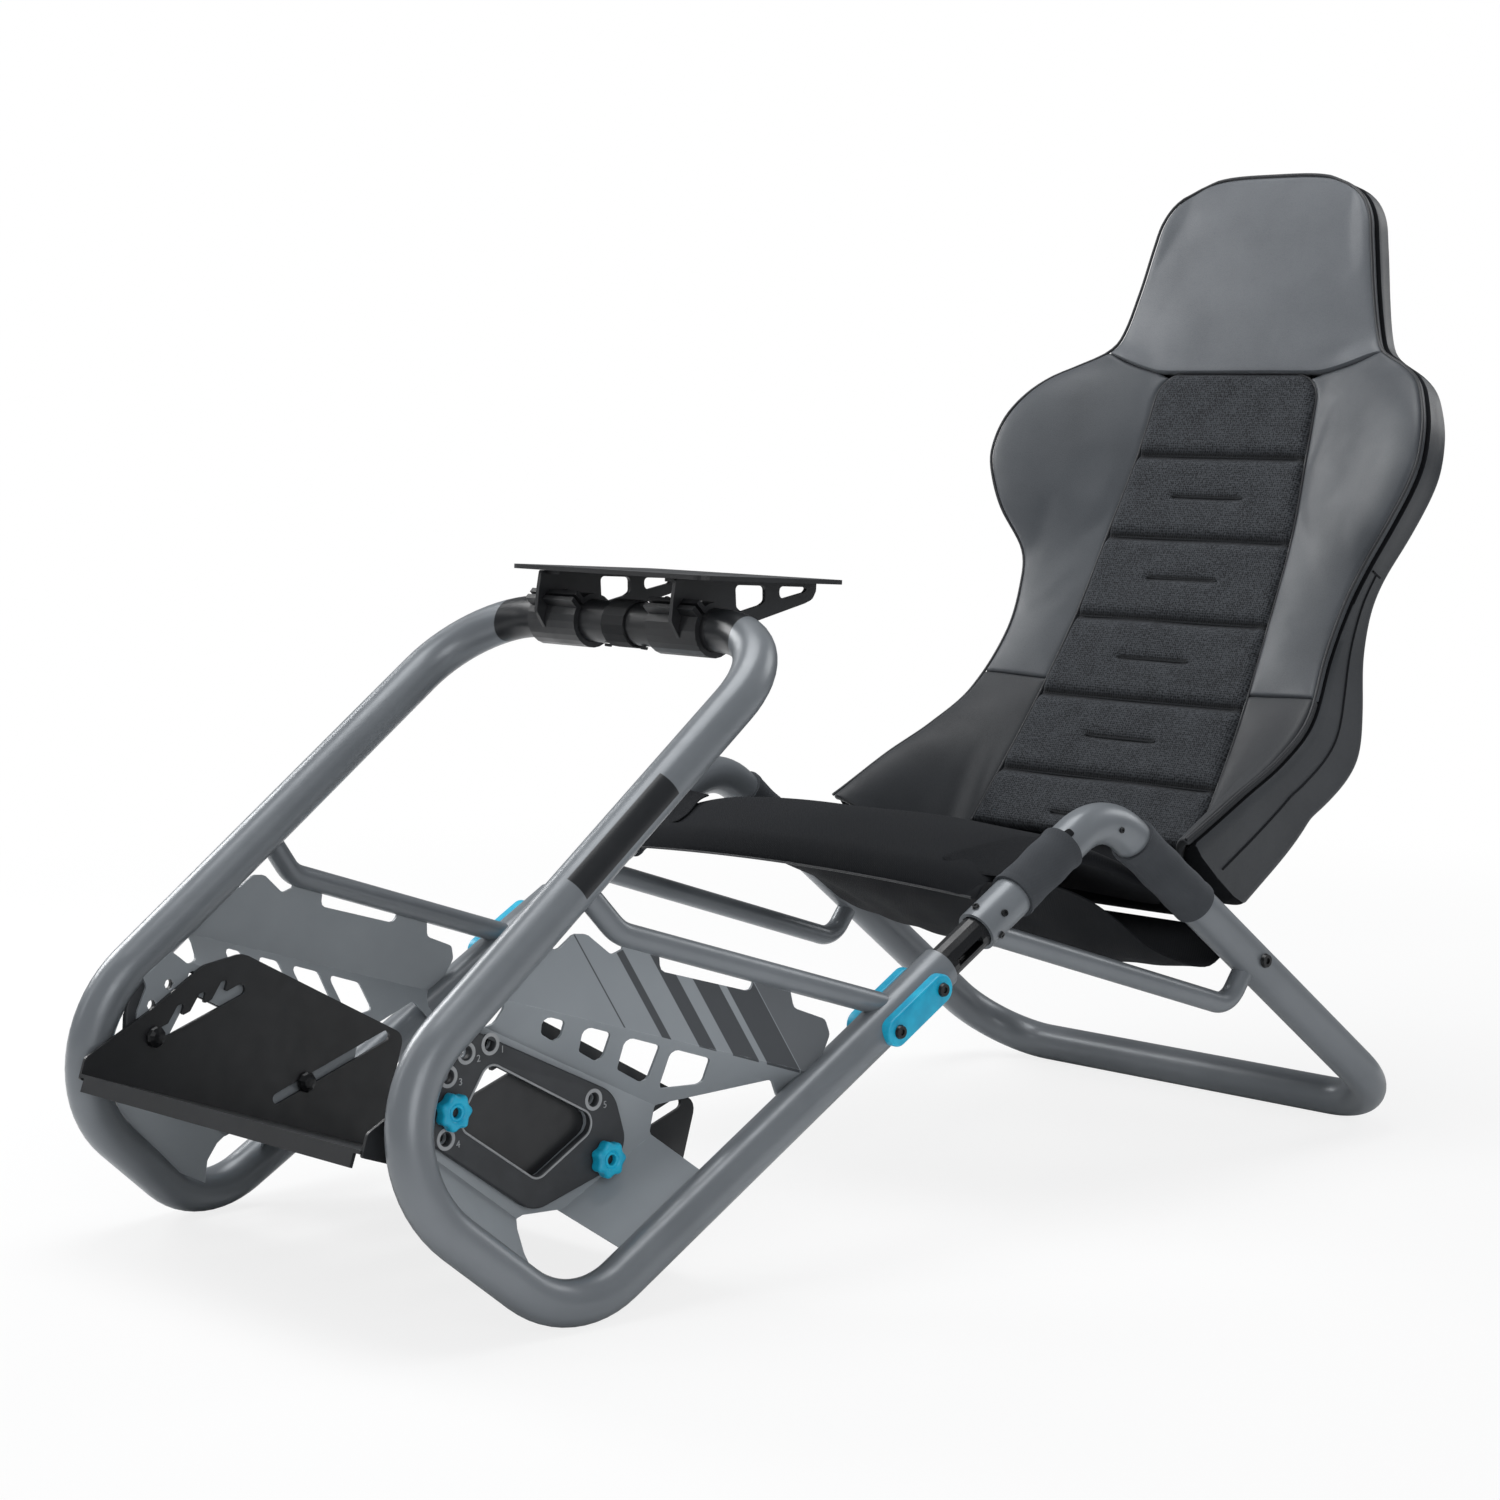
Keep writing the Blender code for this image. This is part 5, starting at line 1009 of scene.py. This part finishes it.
def soft_wave(s, x, seed):
    """A slow uneven swell of a stuffed surface, within a millimetre."""
    swell = math.sin(s * 47 + seed) * math.cos(x * 39 - seed)
    return (swell + math.sin(s * 23 - x * 31 + 2 * seed)) * 0.0005


# ---------------------------------------------------------------- pads
def pad_mesh(name, rows, front, rear):
    """A closed pad from rows of (s, x) cells: a front grid, a rear grid and the rim between."""
    bm = bmesh.new()
    uv = bm.loops.layers.uv.new("UVMap")
    tops, backs = ([[bm.verts.new(placed(face(i, j, *cell))) for j, cell in enumerate(row)]
                    for i, row in enumerate(rows)] for face in (front, rear))
    last_i, last_j = len(rows) - 1, len(rows[0]) - 1

    def patch(corners, cells):
        for loop, (i, j) in zip(bm.faces.new(corners).loops, cells):
            s, x = rows[i][j]
            loop[uv].uv = (x, s)

    for i in range(last_i):
        for j in range(last_j):
            cells = ((i, j), (i, j + 1), (i + 1, j + 1), (i + 1, j))
            patch([tops[a][b] for a, b in cells], cells)
            cells = cells[::-1]
            patch([backs[a][b] for a, b in cells], cells)
    rim = [(0, j) for j in range(last_j)] + [(i, last_j) for i in range(last_i)]
    rim += [(last_i, j) for j in range(last_j, 0, -1)] + [(i, 0) for i in range(last_i, 0, -1)]
    for a, b in zip(rim, rim[1:] + rim[:1]):
        patch([tops[b[0]][b[1]], tops[a[0]][a[1]], backs[a[0]][a[1]], backs[b[0]][b[1]]], (b, a, a, b))
    return to_mesh(name, bm)


def pad_back(i, j, s, x):
    return in_back(s, x, PAD_BACK)


PUFF_FRAMES = 20
CLOTH_VALUES = dict(vertex_group_mass="held", quality=4, mass=0.3, tension_stiffness=25,
                    compression_stiffness=25, shear_stiffness=12, bending_stiffness=1.5, use_pressure=True)


def puffed(mesh, free, cap, pressure):
    """Cloth under pressure on the free vertices of a closed mesh, each moved at most cap."""
    start = [v.co.copy() for v in mesh.vertices]
    obj = linked("puffed", mesh)
    held = obj.vertex_groups.new(name="held")
    held.add([k for k in range(len(start)) if k not in free], 1.0, "REPLACE")
    cloth_mod = obj.modifiers.new("cloth", "CLOTH")
    for key, value in CLOTH_VALUES.items():
        setattr(cloth_mod.settings, key, value)
    cloth_mod.settings.uniform_pressure_force = pressure
    cloth_mod.settings.effector_weights.gravity = 0.0
    cloth_mod.collision_settings.use_self_collision = False
    cloth_mod.point_cache.frame_start, cloth_mod.point_cache.frame_end = 1, PUFF_FRAMES
    scene = bpy.context.scene
    for k in range(1, PUFF_FRAMES + 1):
        scene.frame_set(k)
    view = bpy.context.evaluated_depsgraph_get()
    moved = [v.co.copy() for v in obj.evaluated_get(view).data.vertices]
    obj.modifiers.remove(cloth_mod)
    bpy.data.objects.remove(obj, do_unlink=True)
    scene.frame_set(1)
    for vertex, before, after in zip(mesh.vertices, start, moved):
        step = after - before
        if step.length > cap:
            step *= cap / step.length
        vertex.co = before + step
    return mesh


def subdivided(mesh):
    obj = linked("fine", mesh)
    modifier = obj.modifiers.new("fine", "SUBSURF")
    modifier.levels = modifier.render_levels = 1
    return evaluated(obj)


def free_front(rows, keep_out):
    """Indices of the front vertices that stay clear of the rim."""
    width = len(rows[0])
    return {i * width + j for i in range(keep_out, len(rows) - keep_out)
            for j in range(keep_out, width - keep_out)}


def groove(offset, depth, width):
    return depth * math.exp(-(offset / width) ** 2)


def channel_dip(s, x):
    """Sewn channels across the panel, and a short pleat halfway below each."""
    dip = 0.0
    inside = smooth_step((DASH_HALF - abs(x)) / DASH_FADE + 0.5)
    for middle in CHANNELS:
        channel, pleat = abs(s - middle), abs(s - (middle - CHANNEL_PITCH / 2))
        dip = max(dip, groove(channel, 0.0060, 0.0070) + groove(channel, 0.0026, 0.0030),
                  inside * (groove(pleat, 0.0022, 0.008) + groove(pleat, 0.0026, 0.0028)))
    return dip


def make_back_panel():
    """The mesh middle panel with its seam cords; returns the lines that its stitches follow."""
    shares = two_sided(34, 0.5)
    rows = [[(s, k * panel_edge(s)) for k in shares] for s in even(PANEL_BOTTOM, PANEL_TOP, PANEL_STEP)]

    def front(i, j, s, x):
        side = panel_edge(s) - abs(x)
        rise = roll(min(s - PANEL_BOTTOM, PANEL_TOP - s, side), 0.010)
        across = min(1.0, side / 0.012)
        return in_back(s, x, -0.001 + 0.007 * rise - channel_dip(s, x) * (0.35 + 0.65 * across)
                       + soft_wave(s, x, 1.0) * rise)

    mesh = pad_mesh("back_panel", rows, front, pad_back)
    obj = finished("back_panel", subdivided(mesh), MESH_CLOTH, "rear_frame", ["backrest_panel"])
    lines = []
    for middle in CHANNELS:
        for row, half in ((middle, panel_edge(middle) - 0.003), (middle - CHANNEL_PITCH / 2, DASH_HALF)):
            lines.append([in_back(row, x, 0.0062 - channel_dip(row, x)) for x in even(-half, half, LINE_STEP)])
            cord("seam_cord_%d" % len(lines), lines[-1], CORD_R, 8, SEAM_SHADE)
    return [[p + Vector((0, -0.0009, 0.0004)) for p in line] for line in lines]


def side_cells(row, end, drop, shares, side):
    """Cells of a side pad's row between the middle panel and the outline."""
    slant = max(0.0, (row - SHOULDER_ROW) / (end - SHOULDER_ROW)) * drop
    cells = []
    for t in shares:
        s = row - slant * (1 - t)
        first = panel_edge(min(s, PANEL_TOP)) + SEAM
        cells.append((s, side * (first + (edge_half(s) - first) * t)))
    return cells


def make_side_pads():
    shares = eased(26, 0.6)
    for name, side in SIDES:
        for label, start, end, drop, material, slot, node in (
                ("bolster", BOLSTER_BOTTOM + SEAM / 2, SEAM_ROW - SEAM, SEAM_ROW - CORNER_ROW, LEATHER,
                 "leather", "bolster_"),
                ("wing", WING_BOTTOM, BOLSTER_BOTTOM - SEAM / 2, 0.0, WING_LEATHER, "fabric", "wing_")):
            steps = eased_span(start, end, max(30, round((end - start) / 0.007)), 0.4)
            rows = [side_cells(row, end, drop, shares, side) for row in steps]

            def front(i, j, s, x):
                first = panel_edge(min(s, PANEL_TOP)) + SEAM
                outer = edge_half(s) - abs(x)
                ends = min(steps[i] - start, end - steps[i])
                rise = min(roll(min(abs(x) - first, outer), 0.007), roll(ends + END_START, END_ROLL))
                crown = 1 - abs(2 * shares[j] - 1) ** 3
                return in_back(s, x, -0.003 + 0.0045 * rise + 0.0025 * crown * min(1.0, ends / 0.03)
                               + soft_wave(s, x, 3.0) * rise)

            mesh = pad_mesh(label, rows, front, pad_back)
            mesh = puffed(mesh, free_front(rows, 2), cap=0.0045, pressure=4.0)
            obj = finished("%s_pad_%s" % (label, name), subdivided(mesh), material, "rear_frame",
                           [node + name])


def make_head_pad():
    shares = two_sided(44, 0.5)
    base = SEAM_ROW + SEAM
    middle_base = PANEL_TOP + SEAM
    steps = eased_span(base, BACK_TOP, 40, 0.4)
    rows = []
    for row in steps:
        cells = []
        for k in shares:
            inwards = min(1.0, (1.0 - abs(k)) / 0.52)
            s = row - inwards * (base - middle_base) * max(0.0, 1.0 - (row - base) / 0.06)
            cells.append((crest(s, k), k * edge_half(s)))
        rows.append(cells)

    def front(i, j, s, x):
        near = min((1 - abs(shares[j])) * edge_half(steps[i]), BACK_TOP - steps[i])
        rise = min(roll(near, 0.008), roll(steps[i] - base + END_START, END_ROLL))
        crown = (1 - abs(shares[j]) ** 4) * min(1.0, (BACK_TOP - s) / 0.05)
        return in_back(s, x, -0.003 + 0.003 * rise + 0.007 * crown + soft_wave(s, x, 5.0) * rise)

    mesh = pad_mesh("head_pad", rows, front, pad_back)
    mesh = puffed(mesh, free_front(rows, 2), cap=0.006, pressure=4.0)
    obj = finished("head_pad", subdivided(mesh), HEAD_LEATHER, "rear_frame", ["headrest"])


def on_rear(s, x, edge, proud=0.0, shrink=1.0):
    """A place on the back of the cover, which rolls round towards its edge."""
    lift = min(stand_off(s, x) * 0.75, 0.036)
    rolled = 0.012 * (1 - roll(edge - abs(x), BACK_EDGE_ROLL))
    spot = off_back(s, x, read_table(REAR_SURFACE, s) + lift + rolled + soft_wave(s, x, 7.0) - proud)
    return Vector((x * shrink, spot.y, spot.z))


def seam_spot(s, share):
    edge = edge_half(s) + BACK_OVERHANG
    return on_rear(s, share * edge, edge, 0.0002)


def side_spot(s, share, side):
    """A place on the cover's side band, between its front and rear rims."""
    edge = edge_half(s) + BACK_OVERHANG
    front_rim = in_back(s, edge, COVER_FRONT)
    spot = front_rim.lerp(on_rear(s, edge, edge, 0.0, BACK_EDGE_SHRINK), share)
    return mirrored(spot + Vector((0.0005, 0, 0)), side)


def make_back_shell():
    """The cover behind the pads: a smooth cloth back with a leather band round its edge."""
    rows = []
    for s in even(WING_BOTTOM, BACK_TOP, COVER_STEP):
        edge = edge_half(s)
        first = min(panel_half(min(s, PANEL_TOP)), edge * 0.8)
        half = [0.0, first * 0.35, first * 0.7] + [first + (edge - first) * t for t in eased(16, 0.0)]
        half += [edge + 0.0022, edge + BACK_OVERHANG]
        rows.append([(crest(s, x / edge), -x) for x in reversed(half[1:])]
                    + [(crest(s, x / edge), x) for x in half])
    last = len(rows[0]) - 1

    def rear(i, j, s, x):
        return on_rear(s, x, rows[i][last][1], 0.0, BACK_EDGE_SHRINK if j in (0, last) else 1.0)

    mesh = subdivided(pad_mesh("back_cover", rows, lambda i, j, s, x: in_back(s, x, COVER_FRONT), rear))
    obj = finished("back_cover", mesh, [SEAT_CLOTH, DARK_LEATHER], "rear_frame",
                   ["backrest_shell"])
    for face in mesh.polygons:
        face.material_index = 1 if abs(face.normal.x) > 0.55 else 0
    stations = even(BACK_SEAM_FROM, BACK_SEAM_TO, LINE_STEP)
    seams = [[seam_spot(s, share) for s in stations] for share in (BACK_SEAM_SHARE, -BACK_SEAM_SHARE)]
    seams += [[seam_spot(s, t) for t in even(-BACK_SEAM_SHARE, BACK_SEAM_SHARE, 0.04)]
              for s in (0.235, -0.150)]
    for _, side in SIDES:
        seams.append([side_spot(s, 0.5, side) for s in even(SIDE_SEAM_FROM, SIDE_SEAM_TOP, LINE_STEP)])
        seams.append([side_spot(SIDE_SEAM_TOP, share, side) for share in even(0.12, 0.88, 0.08)])
    for k, line in enumerate(seams):
        cord("back_seam_%d" % (k + 1), line, SEAM_R, 8, SEAM_SHADE)
    rows = [[seam_spot(s, share) for s in stations] for share in (STITCH_SHARE, -STITCH_SHARE)]
    stitches("back_stitches", rows)


def make_piping():
    """Piping round the outline and round the middle panel."""
    stations = even(WING_BOTTOM + 0.002, BACK_TOP - 0.001, LINE_STEP)
    half = [in_back(crest(s, 1.0), edge_half(s) + PIPE_OUT, -0.0012) for s in stations]
    top, reach = BACK_TOP + 0.0004, edge_half(BACK_TOP)
    half += [in_back(crest(top, x / reach), x, -0.0012) for x in even(reach - 0.004, 0.0, 0.005)]
    cord("edge_piping", both_sides(half), 0.0016, 12, PIPING)
    half = [in_back(s, panel_edge(s) + PIPE_OUT, -0.0004)
            for s in even(PANEL_BOTTOM, PANEL_TOP - 0.0004, 0.004)]
    half += [in_back(PANEL_TOP + PIPE_OUT, x, -0.0004)
             for x in even(panel_edge(PANEL_TOP) - 0.001, 0.0, LINE_STEP)]
    cord("panel_piping", both_sides(half), CORD_R, 10, PIPING)


# ---------------------------------------------------------------- seat
def seat_level(y):
    return read_table(SEAT_LINE, y)


def make_seat_pad():
    shares = two_sided(48, 0.5)
    rows = []
    for y in eased_span(SEAT_FRONT, SEAT_REAR, 52, 0.25):
        taper = max(0.0, (y - SEAT_TAPER) / (SEAT_REAR - SEAT_TAPER))
        half = SEAT_HALF + (SEAT_END_HALF - SEAT_HALF) * smooth_step(taper)
        rows.append([(y, k * half) for k in shares])

    def top(i, j, y, x):
        draw = 1 - abs(shares[j]) ** 8
        ends = min(1.0, (SEAT_REAR - y) / 0.02)
        return Vector((x, y, seat_level(y) - SEAT_THICK * 0.35 * (1 - draw)
                       - SEAT_CROWN * abs(shares[j]) ** 2 * ends
                       + soft_wave(y * 0.8, x, 2.0) * draw - 0.0015))

    def under(i, j, y, x):
        thick = SEAT_THICK * (0.35 + 0.65 * min(1.0, (y - SEAT_FRONT) / 0.03))
        return Vector((x, y, seat_level(y) - thick - SEAT_CROWN * abs(shares[j]) ** 2
                       + 0.004 * abs(shares[j]) ** 8 + 0.0005))

    mesh = pad_mesh("seat_pad", rows, top, under)
    mesh = puffed(mesh, free_front(rows, 3), cap=0.005, pressure=3.0)
    obj = finished("seat_pad", subdivided(mesh), SEAT_CLOTH, "rear_frame", ["seat_cushion"])


def make_seat_trim():
    """A sewn lip along the cushion's front edge, and the cloth webs that join it to the front sleeves."""
    lip_z = seat_level(SEAT_FRONT) - LIP_BELOW
    lip = [Vector((x, SEAT_FRONT + LIP_AHEAD, lip_z - SEAT_CROWN * (x / SEAT_HALF) ** 2))
           for x in even(-SEAT_HALF + LIP_INSET, SEAT_HALF - LIP_INSET, 0.010)]
    cord("seat_lip", lip, CORD_R, 8, PIPING)
    rows = [[(y, t) for t in eased(14, 0.2)] for y in even(WEB_FROM, WEB_TO, WEB_STEP)]
    reach = TUBE_R + WEB_PROUD
    down = Vector((0, 0, WEB_THICK))
    for name, side in SIDES:

        def top(i, j, y, t):
            turned = smooth_step((y - WEB_FROM) / WEB_FADE)
            inner_x, inner_z = SEAT_HALF - 0.060 + 0.030 * turned, seat_level(y) - 0.0035
            centre = on_lower(y)
            angle = math.radians(100 - 55 * turned)
            outer = Vector((centre.x + reach * math.cos(angle), y, centre.z + reach * math.sin(angle)))
            x = inner_x + (outer.x - inner_x) * t
            sag = 0.005 * math.sin(math.pi * t) * (1 - (y - WEB_FROM) / 0.1)
            z = inner_z + (outer.z - inner_z) * t - sag
            gap = Vector((x - centre.x, z - centre.z, 0))
            if gap.length < reach:
                gap *= reach / max(gap.length, 1e-6)
                x, z = centre.x + gap.x, centre.z + gap.y
            return Vector((side * x, y, z))

        mesh = pad_mesh("web", rows, top, lambda i, j, y, t: top(i, j, y, t) - down)
        obj = finished("seat_web_" + name, subdivided(mesh), SEAT_CLOTH, "rear_frame")


def make_sling():
    """The slack sheet below the cushion."""
    shares = [2 * k / 40 - 1 for k in range(41)]
    first, last = SLING_LINE[0][0], SLING_LINE[-1][0]
    rows = [[(y, k * SLING_HALF) for k in shares] for y in even(first, last, SLING_STEP)]
    down = Vector((0, 0, SLING_THICK / 2))

    def top(i, j, y, x):
        middle, edge = read_table(SLING_LINE, y)
        fold = 0.0011 * math.sin(x * 95 + y * 40) * math.sin(math.pi * (y - first) / (last - first))
        return Vector((x, y, middle + (edge - middle) * shares[j] ** 2 + fold - 0.0012))

    mesh = pad_mesh("sling", rows, top, lambda i, j, y, x: top(i, j, y, x) - down)
    length = sum((top(0, 20, *b[20]) - top(0, 20, *a[20])).length for a, b in zip(rows, rows[1:]))
    obj = finished("sling", mesh, SEAT_CLOTH, "rear_frame", ["under_sling"])


def make_sleeves():
    """Cloth sleeves round the four legs, with a turned edge at each end."""
    inner = TUBE_R + GAP
    outer = inner + SLEEVE_THICK * 0.55
    for name, side in SIDES:
        for label, start, end in (("front", on_lower(FRONT_SLEEVE[0]), on_lower(FRONT_SLEEVE[1])),
                                  ("rear", leg_point(REAR_SLEEVE[0]), leg_point(REAR_SLEEVE[1]))):
            way = (end - start).normalized()
            length = (end - start).length
            stops = []
            for along in (length * k / 24 for k in range(25)):
                hem = HEM_THICK if min(along, length - along) < HEM_WIDE else 0.0
                stops.append((start + way * along, way, outer + (hem + 0.0004 * math.sin(along * 160))))
            stops += [(start + way * (length * k / 4), way, inner) for k in range(4, -1, -1)]
            mesh = sweep("sleeve", mirror_stops(stops, side), TUBE_SIDES, closed=True)
            obj = finished("%s_wrap_%s" % (label, name), mesh, SLEEVE_CLOTH, "rear_frame",
                           ["%s_sleeve_%s" % (label, name)])


# ---------------------------------------------------------------- nodes that keep their shape
def dress_kept_nodes():
    for material, names in ((BLACK_STEEL, ["pedal_plate", "wheel_deck"]), (RUBBER, ["crossbar_collar"])):
        dress(material, names)
    for material, stem in ((SLIDE_STEEL, "slide_tube"), (PANEL_PAINT, "side_panel"),
                           (BLACK_STEEL, "deck_bracket"), (BLACK_STEEL, "bar_clamp"),
                           (SCREW_STEEL, "bar_clamp_bolt"), (SCREW_STEEL, "pedal_bolt_front"),
                           (SCREW_STEEL, "pedal_bolt_rear")):
        dress(material, ["%s_%s" % (stem, name) for name, _ in SIDES])


def dress(material, names):
    for name in names:
        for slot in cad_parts[name].material_slots:
            slot.material = material


# ---------------------------------------------------------------- stage, light and camera
FLOOR_PALE, FLOOR_RADIUS, FLOOR_FADE = 0.82, 14.0, (1.1, 2.6)
LAMPS = (("overhead", (-0.3, -0.2, 3.0), (0.0, 0.0, 0.2), (2.2, 1.8), 50.0),
         ("key", (-3.0, -0.7, 1.9), (0.0, 0.0, 0.4), (1.2, 1.4), 48.0),
         ("strip", (-1.5, -2.2, 1.9), (0.0, 0.0, 0.3), (0.25, 2.4), 7.0),
         ("fill", (2.7, -1.7, 1.3), (0.0, 0.0, 0.3), (1.6, 1.6), 23.0),
         ("rear", (0.8, 3.0, 2.0), (0.0, 0.0, 0.4), (1.6, 1.6), 20.0))
LENS, SENSOR = 81.54, 36.0
CAMERA_PLACE, CAMERA_TURN = (2.2559, -2.2162, 0.7479), (83.67, 0.0, 46.734)


def show_camera(tree, others, white, share, out):
    """Mixes in a share of plain white for the camera's own rays."""
    mixed = add(tree, "ShaderNodeMixShader", i0=share, i1=others.outputs[0], i2=white.outputs[0])
    tree.links.new(mixed.outputs[0], tree.nodes[out].inputs["Surface"])


def make_stage():
    """A floor that fades to white, so that only the contact shadows show."""
    mesh = bpy.data.meshes.new("floor")
    bm = bmesh.new()
    bmesh.ops.create_circle(bm, cap_ends=True, radius=FLOOR_RADIUS, segments=64)
    bm.to_mesh(mesh)
    bm.free()
    made, tree, shader, coords = new_material("floor", Roughness=0.9, Specular_IOR_Level=0.1,
                                              Base_Color=(0.9, 0.9, 0.9, 1.0))
    far = vector_calc(tree, "LENGTH", coords["Object"], output=1)
    fade = ramp(tree, far, *FLOOR_FADE, curve="SMOOTHSTEP")
    seen = tree.nodes.new("ShaderNodeLightPath").outputs["Is Camera Ray"]
    glow = add(tree, "ShaderNodeEmission", Color=(1.0, 1.0, 1.0, 1.0), Strength=1.0)
    pale = times_add(tree, fade, 1 - FLOOR_PALE, FLOOR_PALE)
    show_camera(tree, shader, glow, times(tree, pale, seen), "Material Output")
    mesh.materials.append(made)
    obj = linked("floor", mesh)


def make_light():
    world = bpy.data.worlds.new("studio")
    bpy.context.scene.world = world
    world.use_nodes = True
    tree = world.node_tree
    room = tree.nodes["Background"]
    room.inputs["Color"].default_value = (0.90, 0.93, 0.97, 1.0)
    room.inputs["Strength"].default_value = 0.26
    white = add(tree, "ShaderNodeBackground", Color=(1.0, 1.0, 1.0, 1.0), Strength=1.0)
    seen = tree.nodes.new("ShaderNodeLightPath").outputs["Is Camera Ray"]
    show_camera(tree, room, white, seen, "World Output")
    for name, place, aim, size, power in LAMPS:
        lamp = bpy.data.lights.new(name, "AREA")
        lamp.shape, lamp.energy = "RECTANGLE", power
        lamp.size, lamp.size_y = size
        holder = linked(name, lamp)
        holder.location = place
        holder.rotation_euler = (Vector(aim) - Vector(place)).to_track_quat("-Z", "Y").to_euler()


def make_camera():
    lens = bpy.data.cameras.new("camera")
    lens.lens, lens.sensor_width = LENS, SENSOR
    camera = linked("camera", lens)
    camera.location = CAMERA_PLACE
    camera.rotation_euler = [math.radians(angle) for angle in CAMERA_TURN]
    bpy.context.scene.camera = camera
    bpy.context.scene.view_settings.view_transform = "Standard"


make_camera()
make_stage()
make_light()
make_frame()
make_slide_clamps()
make_frame_screws()
make_pedal_covers()
make_knobs()
channel_lines = make_back_panel()
make_side_pads()
make_head_pad()
make_back_shell()
make_piping()
make_seat_pad()
make_seat_trim()
make_sling()
make_sleeves()
dress_kept_nodes()
stitches("channel_stitches", channel_lines)
